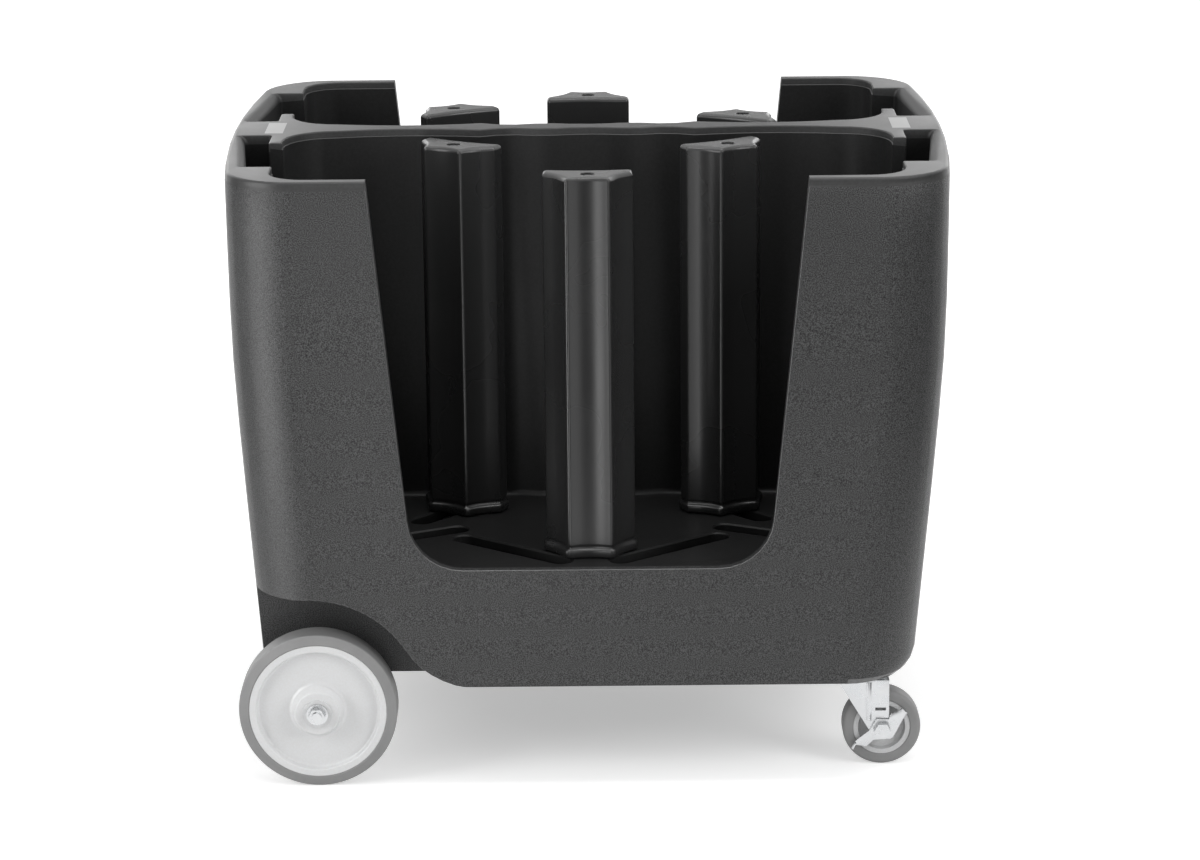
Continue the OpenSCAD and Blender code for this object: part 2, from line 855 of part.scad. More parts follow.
// Folded bracket under the tub that carries the axle beside a wheel
module axle_bracket(side) {
    spacer = rear_track / 2 - boss_in - slip - arch_wall + bracket_inset;
    color([0.6, 0.6, 0.62])
        translate([each bracket_spot(side), 0])
            difference() {
                union() {
                    translate([-bracket_foot_length / 2, min(0, -side * bracket_foot_width),
                               underside_height - bracket_sheet])
                        cube([bracket_foot_length, bracket_foot_width, bracket_sheet]);
                    translate([0, side > 0 ? 0 : bracket_sheet, rear_height])
                        rotate([90, 0, 0])
                            linear_extrude(bracket_sheet)
                                bracket_outline();
                    translate([0, 0, rear_height])
                        rotate([side * -90, 0, 0])
                            cylinder(r = spacer_radius, h = spacer);
                }
                translate([0, 0, rear_height])
                    rotate([90, 0, 0])
                        cylinder(r = axle_diameter / 2 + bore_slip, h = body_width, center = true);
                for (p = foot_holes(side))
                    translate([each p, 0])
                        cylinder(r = fixing_radius + bolt_slip, h = rim_height);
            }
}

module bracket_outline() {
    rise = underside_height - rear_height;
    circle(r = bracket_round);
    polygon([
        [-bracket_round, 0], [bracket_round, 0],
        [bracket_foot_length / 2, rise], [-bracket_foot_length / 2, rise]
    ]);
}

module fixing_bolt() {
    translate([0, 0, -fixing_head])
        cylinder(r = fixing_head_radius, h = fixing_head, $fn = 6);
    cylinder(r = fixing_radius, h = fixing_length - overrun / 2);
}

module bracket_bolts() {
    color("silver")
        for (side = [-1, 1], p = foot_holes(side))
            translate([each (bracket_spot(side) + p), underside_height - bracket_sheet])
                fixing_bolt();
}

module caster_bolts(side) {
    color("silver")
        for (p = plate_holes())
            translate([each (caster_spot(side) + p), underside_height - caster_plate])
                fixing_bolt();
}

// Top plate with the raceway drawn down from it
module caster_top(side) {
    color([0.78, 0.79, 0.8])
        translate([each caster_spot(side), underside_height - caster_plate])
            difference() {
                union() {
                    linear_extrude(caster_plate)
                        polygon(rounded(
                            [for (p = [[-1, -1], [1, -1], [1, 1], [-1, 1]])
                                [p[0] * plate_length / 2, p[1] * plate_width / 2]],
                            [for (i = [0:3]) fixing_edge / 2], edge_steps));
                    translate([0, 0, -race_height])
                        cylinder(r1 = race_radius * 0.8, r2 = race_radius, h = race_height);
                }
                translate([0, 0, -race_height - overrun])
                    cylinder(r = king_radius + bore_slip, h = race_height + caster_plate + 2 * overrun);
                for (p = plate_holes())
                    translate([each p, -overrun])
                        cylinder(r = fixing_radius + bolt_slip, h = caster_plate + 2 * overrun);
            }
}

// King pin riveted in the top plate, with its head under the fork crown
module caster_kingpin(side) {
    crown = fork_top - fork_sheet;
    color([0.6, 0.6, 0.62])
        translate([each caster_spot(side), 0])
            union() {
                translate([0, 0, crown - slip - king_head])
                    cylinder(r = king_head_radius, h = king_head);
                translate([0, 0, crown - slip])
                    cylinder(r = king_radius, h = underside_height - crown + slip);
            }
}

// Side view of a fork leg, from the crown to the wheel axle
module leg_outline() {
    drop = fork_top - caster_radius;
    reach = caster_trail + leg_front;
    difference() {
        polygon(rounded(
            [
                [-leg_back, drop], [-leg_back, drop * (1 - leg_rise_share / 6)],
                [caster_trail - leg_lower, -leg_round / 2], [caster_trail, -leg_round],
                [reach + leg_round / 4, -leg_round / 2], [reach, leg_round],
                [reach, drop]
            ],
            [for (share = [0.1, 0.3, 0.4, 0.5, 0.4, 0.5, 0.1]) share * leg_round], edge_steps));
        translate([caster_trail, 0])
            circle(r = caster_axle_radius + bore_slip);
        translate([caster_trail - leg_slot_width / 2 - leg_slot_height / 2, leg_slot_rise])
            square([leg_slot_width, leg_slot_height]);
    }
}

// Pressed fork: a crown on the raceway and two legs beside the wheel
module caster_fork(side) {
    drop = fork_top - caster_radius;
    color([0.8, 0.8, 0.82])
        translate([each caster_spot(side), caster_radius])
            difference() {
                union() {
                    for (leg = [-1, 1]) {
                        translate([0, leg > 0 ? fork_half + fork_sheet : -fork_half, 0])
                            rotate([90, 0, 0])
                                linear_extrude(fork_sheet)
                                    leg_outline();
                        translate([caster_trail - leg_lower - bead_width,
                                   leg > 0 ? fork_half + fork_sheet : -fork_half - fork_sheet - bead_height,
                                   leg_round])
                            cube([bead_width, bead_height, drop - leg_round - fork_sheet]);
                    }
                    intersection() {
                        translate([0, 0, drop - fork_sheet])
                            union() {
                                cylinder(r = race_radius, h = fork_sheet);
                                translate([0, -fork_half - fork_sheet / 2, 0])
                                    cube([caster_trail + leg_front, 2 * fork_half + fork_sheet, fork_sheet]);
                            }
                        translate([-race_radius, -fork_half - fork_sheet / 2, 0])
                            cube([race_radius + caster_trail + leg_front, 2 * fork_half + fork_sheet, drop]);
                    }
                }
                translate([0, 0, drop - fork_sheet - overrun])
                    cylinder(r = king_radius + bore_slip, h = fork_sheet + 2 * overrun);
            }
}

// Lays a piece on a caster axle, its own Z turned outwards
module on_caster_axle(side) {
    translate([each (caster_spot(side) + [caster_trail, 0]), caster_radius])
        rotate([side * -90, 0, 0])
            children();
}

rocker_out = fork_half + fork_sheet + slip;
nut_out = rocker_out + rocker_sheet + slip;

module caster_axle(side) {
    inner = -fork_half - fork_sheet;
    color("silver")
        on_caster_axle(side)
            union() {
                translate([0, 0, inner - caster_head])
                    cylinder(r = caster_head_flats / sqrt(3), h = caster_head, $fn = 6);
                translate([0, 0, inner])
                    cylinder(r = caster_axle_radius, h = nut_out + caster_nut - inner);
            }
}

module caster_nut_piece(side) {
    color("silver")
        on_caster_axle(side)
            translate([0, 0, nut_out])
                hex_nut(caster_nut_flats, caster_nut, caster_axle_radius + bore_slip);
}

module caster_sleeve(side) {
    color([0.7, 0.7, 0.72])
        on_caster_axle(side)
            difference() {
                cylinder(r = sleeve_radius, h = 2 * (fork_half - slip), center = true);
                cylinder(r = caster_axle_radius + bore_slip, h = 4 * fork_half, center = true);
            }
}

module caster_hub(side) {
    half = caster_width / 2;
    color([0.62, 0.62, 0.62])
        on_caster_axle(side)
            rotate_extrude($fn = 96)
                polygon(rounded(
                    [
                        [sleeve_radius + bore_slip, -half], [hub_boss_radius, -half],
                        [hub_boss_radius + hub_lip / 2, -hub_web_half],
                        [hub_radius - hub_lip, -hub_web_half], [hub_radius - hub_lip, hub_lip / 5 - half],
                        [hub_radius, hub_lip / 5 - half], [hub_radius, half - hub_lip / 5],
                        [hub_radius - hub_lip, half - hub_lip / 5], [hub_radius - hub_lip, hub_web_half],
                        [hub_boss_radius + hub_lip / 2, hub_web_half],
                        [hub_boss_radius, half], [sleeve_radius + bore_slip, half]
                    ],
                    [for (share = [1, 2, 4, 4, 2, 1, 1, 2, 4, 4, 2, 1]) share * hub_lip / 10],
                    edge_steps));
}

module caster_tyre(side) {
    half = caster_width / 2;
    edge = hub_radius + bore_slip;
    color([0.3, 0.3, 0.31])
        on_caster_axle(side)
            rotate_extrude($fn = 96)
                polygon(rounded(
                    [[edge, -half], [caster_radius, -half], [caster_radius, half], [edge, half]],
                    [for (share = [0.1, 1, 1, 0.1]) share * caster_tread_radius],
                    edge_steps));
}

// Rocker plate of the brake: two wings with bent tabs, about the wheel axle
module rocker_outline() {
    difference() {
        polygon(rocker_size * rocker_shares);
        circle(r = caster_axle_radius + bore_slip);
    }
}

// Tab bent outwards at a corner of the rocker
module rocker_tab_at(corner, turn) {
    p = rocker_size * rocker_shares[corner];
    translate([p[0], 0, p[1]])
        rotate([0, turn, 0])
            translate([-rocker_tab_width, 0, -rocker_sheet])
                cube([rocker_tab_width, rocker_tab, rocker_sheet]);
}

module caster_brake(side) {
    color("silver")
        translate([each (caster_spot(side) + [caster_trail, side * rocker_out]), caster_radius])
            mirror([0, side < 0 ? 1 : 0, 0])
                union() {
                    translate([0, rocker_sheet, 0])
                        rotate([90, 0, 0])
                            linear_extrude(rocker_sheet)
                                rocker_outline();
                    rocker_tab_at(3, -rocker_high_turn + 90);
                    rocker_tab_at(10, -rocker_low_turn);
                }
}

body_tub();
tower(front_spot, 0);  // tower_front
tower(left_spot, -side_turn);  // tower_left
tower(right_spot, side_turn);  // tower_right
tower(back_spot, 180);  // tower_back
tower(back_left_spot, 180 + side_turn);  // tower_back_left
tower(back_right_spot, 180 - side_turn);  // tower_back_right
tie_bolt(front_spot);  // tie_bolt_front
tie_bolt(left_spot);  // tie_bolt_left
tie_bolt(right_spot);  // tie_bolt_right
tie_bolt(back_spot);  // tie_bolt_back
tie_bolt(back_left_spot);  // tie_bolt_back_left
tie_bolt(back_right_spot);  // tie_bolt_back_right
clamp_nut(front_spot);  // clamp_nut_front
clamp_nut(left_spot);  // clamp_nut_left
clamp_nut(right_spot);  // clamp_nut_right
clamp_nut(back_spot);  // clamp_nut_back
clamp_nut(back_left_spot);  // clamp_nut_back_left
clamp_nut(back_right_spot);  // clamp_nut_back_right
rear_axle();
axle_bracket(-1);  // axle_bracket_front
axle_bracket(1);  // axle_bracket_back
bracket_bolts();
rear_hub(-1);  // rear_hub_front
rear_tyre(-1);  // rear_tyre_front
rear_bush(-1);  // rear_bush_front
rear_washer(-1);  // rear_washer_front
rear_nut(-1);  // rear_nut_front
rear_hub(1);  // rear_hub_back
rear_tyre(1);  // rear_tyre_back
rear_bush(1);  // rear_bush_back
rear_washer(1);  // rear_washer_back
rear_nut(1);  // rear_nut_back
caster_top(-1);  // caster_plate_front
caster_bolts(-1);  // caster_bolts_front
caster_kingpin(-1);  // caster_kingpin_front
caster_fork(-1);  // caster_fork_front
caster_axle(-1);  // caster_axle_front
caster_nut_piece(-1);  // caster_nut_front
caster_sleeve(-1);  // caster_sleeve_front
caster_hub(-1);  // caster_hub_front
caster_tyre(-1);  // caster_tyre_front
caster_brake(-1);  // caster_brake_front
caster_top(1);  // caster_plate_back
caster_bolts(1);  // caster_bolts_back
caster_kingpin(1);  // caster_kingpin_back
caster_fork(1);  // caster_fork_back
caster_axle(1);  // caster_axle_back
caster_nut_piece(1);  // caster_nut_back
caster_sleeve(1);  // caster_sleeve_back
caster_hub(1);  // caster_hub_back
caster_tyre(1);  // caster_tyre_back
caster_brake(1);  // caster_brake_back
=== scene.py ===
"""Looks of a moulded plate dispenser cart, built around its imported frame.

Lengths in the classes are millimetres, as on a drawing, and MM turns them into
the metres of the frame. Side -1 is the front of the cart and 1 the back.
"""

import logging
from dataclasses import dataclass, field
from enum import Enum

import bpy
import numpy as np
from mathutils import Matrix, Vector


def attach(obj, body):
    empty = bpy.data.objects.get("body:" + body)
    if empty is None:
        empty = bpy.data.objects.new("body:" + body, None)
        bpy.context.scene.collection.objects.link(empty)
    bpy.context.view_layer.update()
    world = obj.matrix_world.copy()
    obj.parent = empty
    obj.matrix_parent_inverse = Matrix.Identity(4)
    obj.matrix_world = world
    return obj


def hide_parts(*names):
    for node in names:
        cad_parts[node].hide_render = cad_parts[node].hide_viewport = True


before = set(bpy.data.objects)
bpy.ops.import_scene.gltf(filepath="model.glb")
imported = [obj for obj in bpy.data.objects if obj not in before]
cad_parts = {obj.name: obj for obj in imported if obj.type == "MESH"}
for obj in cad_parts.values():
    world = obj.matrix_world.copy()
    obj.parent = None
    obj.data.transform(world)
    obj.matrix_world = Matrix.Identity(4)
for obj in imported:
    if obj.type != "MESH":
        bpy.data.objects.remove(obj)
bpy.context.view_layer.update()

MM = 0.001
# Grid on which loose points are joined, in metres.
WELD_GRID = 2e-6
# Least angle of a crisp edge on turned and lofted parts, in degrees.
CRISP_ANGLE = 50.0
# Half of the range about 0.5 in which most of a noise's values lie.
NOISE_HALF = 0.2
LOG = logging.getLogger("plate_cart")


class Side(Enum):
    """The two long sides of the cart."""

    FRONT = -1
    BACK = 1

    @property
    def word(self) -> str:
        """The side's name as it stands in node names."""
        return self.name.lower()


class Region(Enum):
    """Areas of the tub that are finished differently."""

    SKIN = 0
    BAY = 1
    RIM = 2
    LIP = 3


# Shapes


def rounded_outline(corners: np.ndarray, radii: np.ndarray, steps: int) -> np.ndarray:
    """Rounds each corner of a closed outline with an arc.

    The arc's centre lies on the corner's bisector at radius / sin(half angle),
    and the arc turns from the foot on one edge to the foot on the other.

    Args:
        corners: Corner points, shape (n, 2).
        radii: One radius for each corner.
        steps: Number of chords in each arc.

    Returns:
        The rounded outline, shape (n * (steps + 1), 2).
    """
    corners = np.asarray(corners, float)
    radii = np.asarray(radii, float)[:, None]
    back = np.roll(corners, 1, 0) - corners
    ahead = np.roll(corners, -1, 0) - corners
    back /= np.linalg.norm(back, axis=1, keepdims=True)
    ahead /= np.linalg.norm(ahead, axis=1, keepdims=True)
    half = np.arccos(np.clip((back * ahead).sum(1, keepdims=True), -1, 1)) / 2
    bisector = back + ahead
    bisector /= np.maximum(np.linalg.norm(bisector, axis=1, keepdims=True), 1e-9)
    centre = corners + bisector * radii / np.sin(half)
    first = corners + back * radii / np.tan(half) - centre
    last = corners + ahead * radii / np.tan(half) - centre
    start = np.arctan2(first[:, 1], first[:, 0])
    turn = np.arctan2(last[:, 1], last[:, 0]) - start
    turn = (turn + np.pi) % (2 * np.pi) - np.pi
    angle = start[:, None] + turn[:, None] * np.linspace(0, 1, steps + 1)[None]
    arcs = centre[:, None] + radii[:, :, None] * np.stack([np.cos(angle), np.sin(angle)], -1)
    return arcs.reshape(-1, 2)


def ring_faces(rows: int, cols: int, closed: bool) -> np.ndarray:
    """Quads between neighbouring rings of a grid, wrapped round each ring.

    Args:
        rows: Number of rings.
        cols: Points in each ring.
        closed: Whether the last ring joins the first.

    Returns:
        Vertex numbers of the quads, shape (k, 4).
    """
    i = np.arange(rows if closed else rows - 1)[:, None]
    j = np.arange(cols)[None]
    down, up = i * cols, (i + 1) % rows * cols
    right = (j + 1) % cols
    return np.stack([down + j, down + right, up + right, up + j], -1).reshape(-1, 4)


def mesh_object(name: str, points: np.ndarray, quads: np.ndarray,
                caps: tuple = ()) -> bpy.types.Object:
    """Makes a smooth mesh object from points, quads and closing faces.

    Args:
        name: Name of the new object.
        points: Points in millimetres, shape (n, 3).
        quads: Vertex numbers of the four-sided faces.
        caps: Longer closing faces, each a list of vertex numbers.

    Returns:
        The new object, linked to the scene.
    """
    mesh = bpy.data.meshes.new(name)
    faces = [*quads.tolist(), *[list(map(int, cap)) for cap in caps]]
    mesh.from_pydata((np.asarray(points, float) * MM).tolist(), [], faces)
    mesh.polygons.foreach_set("use_smooth", np.ones(len(mesh.polygons), bool))
    mesh.update()
    made = bpy.data.objects.new(name, mesh)
    bpy.context.scene.collection.objects.link(made)
    return made


def loft(name: str, rings: np.ndarray) -> bpy.types.Object:
    """Joins rings of equal length, counterclockwise seen from above, bottom ring first.

    Args:
        name: Name of the new object.
        rings: Points in millimetres, shape (levels, points, 3).

    Returns:
        The closed solid.
    """
    rows, cols = rings.shape[:2]
    caps = (np.arange(cols)[::-1], (rows - 1) * cols + np.arange(cols))
    return mesh_object(name, rings.reshape(-1, 3), ring_faces(rows, cols, False), caps)


def revolve(name: str, profile: np.ndarray, centre: np.ndarray, side: int,
            count: int) -> bpy.types.Object:
    """Turns a closed profile about an axle that runs along Y.

    A profile point (r, w) at angle a becomes centre + (r cos a, side * w, r sin a).

    Args:
        name: Name of the new object.
        profile: Closed outline of (radius, distance outwards), shape (n, 2).
        centre: Middle of the wheel in millimetres.
        side: -1 or 1, the way outwards along Y.
        count: Points round the axle.

    Returns:
        The closed ring.
    """
    angle = np.linspace(0, 2 * np.pi, count, endpoint=False)[None]
    r, w = profile[:, 0, None], profile[:, 1, None] * np.ones_like(angle)
    points = np.stack([r * np.cos(angle), side * w, r * np.sin(angle)], -1) + centre
    quads = ring_faces(len(profile), count, True)
    radius, out = profile.T
    area = 0.5 * np.sum(radius * np.roll(out, -1) - np.roll(radius, -1) * out)
    if area * side > 0:
        quads = quads[:, ::-1]
    return mesh_object(name, points.reshape(-1, 3), quads)


def welded_copy(node: str, name: str) -> bpy.types.Object:
    """Copies a frame node's loose triangles into one welded surface, without flat ones.

    Args:
        node: Name of the frame node.
        name: Name of the new object.

    Returns:
        The welded copy, which lies exactly on the node.
    """
    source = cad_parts[node].data
    points = np.empty(len(source.vertices) * 3, np.float64)
    source.vertices.foreach_get("co", points)
    corners = np.empty(len(source.loops), np.int64)
    source.loops.foreach_get("vertex_index", corners)
    key = np.round(points.reshape(-1, 3) / WELD_GRID).astype(np.int64)
    _, first, number = np.unique(key, axis=0, return_index=True, return_inverse=True)
    triangles = number.reshape(-1)[corners].reshape(-1, 3)
    flat = (triangles == np.roll(triangles, 1, 1)).any(1)
    return mesh_object(name, points.reshape(-1, 3)[first] / MM, triangles[~flat])


def sharpen(made: bpy.types.Object, degrees: float) -> None:
    """Keeps edges sharper than an angle crisp and weights the rest by face area.

    Args:
        made: The object to shade.
        degrees: The least angle of a crisp edge.
    """
    made.data.set_sharp_from_angle(angle=np.radians(degrees))
    weighted = made.modifiers.new("weighted", "WEIGHTED_NORMAL")
    weighted.keep_sharp = True
    # 50 weighs all faces alike, and more favours the large ones.
    weighted.weight = 80


def settle_normals(made: bpy.types.Object) -> np.ndarray:
    """Reads the shading normals that an object's modifiers give and removes the modifiers.

    Args:
        made: The object, already sharpened.

    Returns:
        One normal for each face corner, shape (n, 3).
    """
    shown = made.evaluated_get(bpy.context.evaluated_depsgraph_get()).data
    normals = np.empty(len(shown.loops) * 3, np.float32)
    shown.corner_normals.foreach_get("vector", normals)
    made.modifiers.clear()
    return normals.reshape(-1, 3)


def soften_edges(made: bpy.types.Object, width: float, degrees: float) -> None:
    """Rolls the sharp edges of pressed or moulded work.

    Args:
        made: The object to bevel.
        width: Width of the roll in millimetres.
        degrees: The least angle of an edge that is rolled.
    """
    bevel = made.modifiers.new("rolled", "BEVEL")
    bevel.width = width * MM
    bevel.segments = 2
    bevel.limit_method = "ANGLE"
    bevel.angle_limit = np.radians(degrees)
    bevel.harden_normals = False


# Finishes


@dataclass
class NodeBoard:
    """A material's node tree with short ways to add and join nodes."""

    material: bpy.types.Material

    def add(self, kind: str, **values: object) -> bpy.types.Node:
        """Adds a node and sets its named inputs, or its properties if no input has the name.

        Args:
            kind: Node type without the ShaderNode prefix.
            **values: Input or property values, with underscores for spaces.

        Returns:
            The new node.
        """
        made = self.material.node_tree.nodes.new("ShaderNode" + kind)
        for key, value in values.items():
            label = key.replace("_", " ")
            if label in made.inputs:
                made.inputs[label].default_value = value
            else:
                setattr(made, key, value)
        return made

    def join(self, start: bpy.types.NodeSocket, end: bpy.types.NodeSocket) -> None:
        """Links an output socket to an input socket."""
        self.material.node_tree.links.new(start, end)

    def noise(self, scale: float, detail: float,
              stretch: tuple = (1, 1, 1)) -> bpy.types.NodeSocket:
        """Noise on Object coordinates.

        Args:
            scale: Features in one metre.
            detail: Octaves.
            stretch: Scale along each axis, for drag marks.

        Returns:
            The noise's value socket.
        """
        place = self.add("TexCoord")
        turn = self.add("Mapping", Scale=stretch)
        made = self.add("TexNoise", Scale=scale, Detail=detail, Roughness=0.6)
        self.join(place.outputs["Object"], turn.inputs["Vector"])
        self.join(turn.outputs["Vector"], made.inputs["Vector"])
        return made.outputs["Fac"]

    def band(self, value: bpy.types.NodeSocket, low: float, high: float,
             least: float, most: float) -> bpy.types.NodeSocket:
        """Maps a value from low..high to least..most and clamps it there."""
        made = self.add("MapRange", From_Min=low, From_Max=high, To_Min=least, To_Max=most)
        self.join(value, made.inputs["Value"])
        return made.outputs["Result"]

    def spread(self, noise: bpy.types.NodeSocket, least: float = 0, most: float = 1,
               half: float = NOISE_HALF) -> bpy.types.NodeSocket:
        """Maps the middle of a noise's range to least..most, where half is half of that middle."""
        return self.band(noise, 0.5 - half, 0.5 + half, least, most)

    def tint(self, value: bpy.types.NodeSocket, dark: tuple, light: tuple) -> bpy.types.NodeSocket:
        """Blends two colours by a value."""
        made = self.add("Mix", data_type="RGBA")
        made.inputs[6].default_value = (*dark, 1)
        made.inputs[7].default_value = (*light, 1)
        self.join(value, made.inputs[0])
        return made.outputs[2]

    def bump(self, height: bpy.types.NodeSocket, depth: float, strength: float,
             under: bpy.types.NodeSocket = None) -> bpy.types.NodeSocket:
        """Turns a height into a surface normal.

        Args:
            height: The height's value socket.
            depth: Height of the pattern in millimetres.
            strength: How strongly it is seen.
            under: Normal that it is laid over.

        Returns:
            The normal's socket.
        """
        made = self.add("Bump", Strength=strength, Distance=depth * MM)
        self.join(height, made.inputs["Height"])
        if under is not None:
            self.join(under, made.inputs["Normal"])
        return made.outputs["Normal"]

    def math(self, operation: str, first: object, second: object) -> bpy.types.NodeSocket:
        """Combines two sockets or numbers by an operation."""
        made = self.add("Math", operation=operation)
        for slot, value in zip(made.inputs, (first, second)):
            if isinstance(value, bpy.types.NodeSocket):
                self.join(value, slot)
            else:
                slot.default_value = value
        return made.outputs[0]

    def within(self, middle: tuple, half: tuple) -> bpy.types.NodeSocket:
        """One inside a box that is mirrored in X and Y, and zero outside.

        Args:
            middle: Middle of the box in millimetres, on the positive side.
            half: Half sizes of the box in millimetres.

        Returns:
            The mask's socket.
        """
        place = self.add("TexCoord")
        parts = self.add("SeparateXYZ")
        self.join(place.outputs["Object"], parts.inputs[0])
        mask = 1.0
        for axis, centre, reach in zip(parts.outputs, middle, half):
            off = self.math("SUBTRACT", self.math("ABSOLUTE", axis, 0.0), centre * MM)
            close = self.math("LESS_THAN", self.math("ABSOLUTE", off, 0.0), reach * MM)
            mask = self.math("MULTIPLY", mask, close)
        return mask


def shader(board: NodeBoard) -> bpy.types.Node:
    """The material's main shader node."""
    return board.material.node_tree.nodes["Principled BSDF"]


def blank(name: str) -> NodeBoard:
    """A new node material with its main shader."""
    material = bpy.data.materials.new(name)
    material.use_nodes = True
    return NodeBoard(material)


def grey(level: float, warmth: float = 0.0) -> tuple:
    """A linear grey, slightly warm or cool."""
    return (level * (1 + warmth), level, level * (1 - warmth))


@dataclass(frozen=True)
class MouldedPlastic:
    """Moulded plastic: a fine stipple over faint cloudy shade.

    Grains are given in features a metre, and depths in millimetres. The stipple
    also darkens and lightens the colour by the part called speckle. The drag
    marks are noise stretched along the way the mould was drawn. An inlay is a
    small grey plate on both ends, given as the middle and half sizes of its box.
    """

    name: str
    level: float
    roughness: float
    grain: float
    grain_depth: float
    grain_strength: float
    speckle: float
    drag: float = 0.0
    gloss: float = 0.5
    inlay: tuple = ()
    inlay_level: float = 0.26
    stipple_half: float = 0.15
    cloud_grain: float = 5.0
    smoother: float = 0.04
    rougher: float = 0.05
    drag_grain: float = 60.0
    drag_stretch: tuple = (1, 1, 0.08)
    drag_depth: float = 0.4

    def material(self) -> bpy.types.Material:
        """Builds the material."""
        board = blank(self.name)
        face = shader(board)
        fine = board.noise(self.grain, 2.0)
        cloud = board.noise(self.cloud_grain, 3.0)
        dark, light = self.level * (1 - self.speckle), self.level * (1 + self.speckle)
        colour = board.tint(board.spread(fine, half=self.stipple_half), grey(dark),
                            grey(light, -0.01))
        rough = board.spread(cloud, self.roughness - self.smoother, self.roughness + self.rougher)
        if self.inlay:
            plate = board.add("Mix", data_type="RGBA")
            plate.inputs[7].default_value = (*grey(self.inlay_level), 1)
            board.join(board.within(*self.inlay), plate.inputs[0])
            board.join(colour, plate.inputs[6])
            colour = plate.outputs[2]
        board.join(colour, face.inputs["Base Color"])
        board.join(rough, face.inputs["Roughness"])
        if self.grain_strength:
            normal = board.bump(fine, self.grain_depth, self.grain_strength)
            if self.drag:
                lines = board.noise(self.drag_grain, 2.0, self.drag_stretch)
                normal = board.bump(lines, self.drag_depth, self.drag, normal)
            board.join(normal, face.inputs["Normal"])
        face.inputs["Specular IOR Level"].default_value = self.gloss
        return board.material


@dataclass(frozen=True)
class Rubber:
    """Moulded tyre rubber with a dusty, slightly uneven side.

    The colour runs from dark to light, both as parts of the level.
    """

    name: str
    level: float
    dark: float = 0.92
    light: float = 1.07
    roughness: float = 0.6
    uneven: float = 0.05
    gloss: float = 0.35
    grain: float = 900.0
    grain_depth: float = 0.12
    grain_strength: float = 0.35
    cloud_grain: float = 18.0

    def material(self) -> bpy.types.Material:
        """Builds the material."""
        board = blank(self.name)
        face = shader(board)
        fine = board.noise(self.grain, 3.0)
        cloud = board.noise(self.cloud_grain, 4.0)
        colour = board.tint(board.spread(cloud), grey(self.level * self.dark),
                            grey(self.level * self.light))
        rough = board.spread(cloud, self.roughness - self.uneven, self.roughness + self.uneven)
        board.join(colour, face.inputs["Base Color"])
        board.join(rough, face.inputs["Roughness"])
        normal = board.bump(fine, self.grain_depth, self.grain_strength)
        board.join(normal, face.inputs["Normal"])
        face.inputs["Specular IOR Level"].default_value = self.gloss
        return board.material


@dataclass(frozen=True)
class Zinc:
    """Bright zinc plating: a soft mottled metal with fine rolling marks."""

    name: str
    level: float
    roughness: float
    dark: float = 0.94
    uneven: float = 0.03
    cloud_grain: float = 60.0
    mark_grain: float = 500.0
    mark_stretch: tuple = (1, 1, 0.06)
    mark_depth: float = 0.03
    mark_strength: float = 0.1

    def material(self) -> bpy.types.Material:
        """Builds the material."""
        board = blank(self.name)
        face = shader(board)
        cloud = board.noise(self.cloud_grain, 2.0)
        lines = board.noise(self.mark_grain, 2.0, self.mark_stretch)
        colour = board.tint(board.spread(cloud), grey(self.level * self.dark, -0.02),
                            grey(self.level, -0.01))
        rough = board.spread(cloud, self.roughness - self.uneven, self.roughness + self.uneven)
        board.join(colour, face.inputs["Base Color"])
        board.join(rough, face.inputs["Roughness"])
        normal = board.bump(lines, self.mark_depth, self.mark_strength)
        board.join(normal, face.inputs["Normal"])
        face.inputs["Metallic"].default_value = 1.0
        return board.material


@dataclass(frozen=True)
class Finishes:
    """All finishes of the cart, each made once."""

    skin: bpy.types.Material
    bay: bpy.types.Material
    rim: bpy.types.Material
    lip: bpy.types.Material
    tower: bpy.types.Material
    tyre: bpy.types.Material
    caster_tyre: bpy.types.Material
    hub: bpy.types.Material
    caster_hub: bpy.types.Material
    bush: bpy.types.Material
    zinc: bpy.types.Material

    @staticmethod
    def make() -> "Finishes":
        """Builds every material of the cart.

        The numbers after a plastic's name are its level, roughness, grain, the
        grain's depth and strength, and the speckle.
        """
        return Finishes(
            skin=MouldedPlastic("stippled_skin", 0.04, 0.4, 760.0, 0.5, 0.9, 0.95,
                                gloss=0.36).material(),
            # The bay is darker than the rim on the same smooth plastic: painted shade inside the
            # bays and pockets.
            bay=MouldedPlastic("bay_painted_shade", 0.017, 0.38, 260.0, 0.05, 0.05, 0.1,
                               drag=0.1, gloss=0.16).material(),
            rim=MouldedPlastic("smooth_rim", 0.035, 0.42, 260.0, 0.05, 0.05, 0.1, gloss=0.36,
                               inlay=((413.0, 0.0, 794.0), (12.0, 37.0, 0.1))).material(),
            # The lip is lighter and glossier than the skin: a painted highlight along the rolled
            # edges of the cutouts, pockets and arches.
            lip=MouldedPlastic("lip_painted_highlight", 0.1, 0.25, 260.0, 0.02, 0.02, 0.1,
                               gloss=0.7).material(),
            tower=MouldedPlastic("tower_black", 0.019, 0.27, 300.0, 0.0, 0.0, 0.03,
                                 gloss=0.6).material(),
            tyre=Rubber("grey_tyre", 0.26).material(),
            caster_tyre=Rubber("dark_tyre", 0.24).material(),
            hub=MouldedPlastic("light_hub", 0.7, 0.38, 400.0, 0.05, 0.1, 0.02).material(),
            caster_hub=MouldedPlastic("grey_hub", 0.55, 0.4, 400.0, 0.05, 0.1, 0.04).material(),
            bush=MouldedPlastic("bush_plastic", 0.64, 0.35, 400.0, 0.04, 0.1, 0.03).material(),
            zinc=Zinc("zinc_plating", 0.6, 0.28).material(),
        )


def dress(made: bpy.types.Object, *materials: bpy.types.Material) -> None:
    """Gives an object its materials, first slot first."""
    made.data.materials.clear()
    for material in materials:
        made.data.materials.append(material)


def dress_nodes(material: bpy.types.Material, *nodes: str) -> None:
    """Gives frame nodes a material through their object's slots."""
    for node in nodes:
        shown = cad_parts[node]
        if not shown.material_slots:
            shown.data.materials.append(material)
        for slot in shown.material_slots:
            slot.link = "OBJECT"
            slot.material = material
        LOG.info("%s dressed with %s", node, material.name)


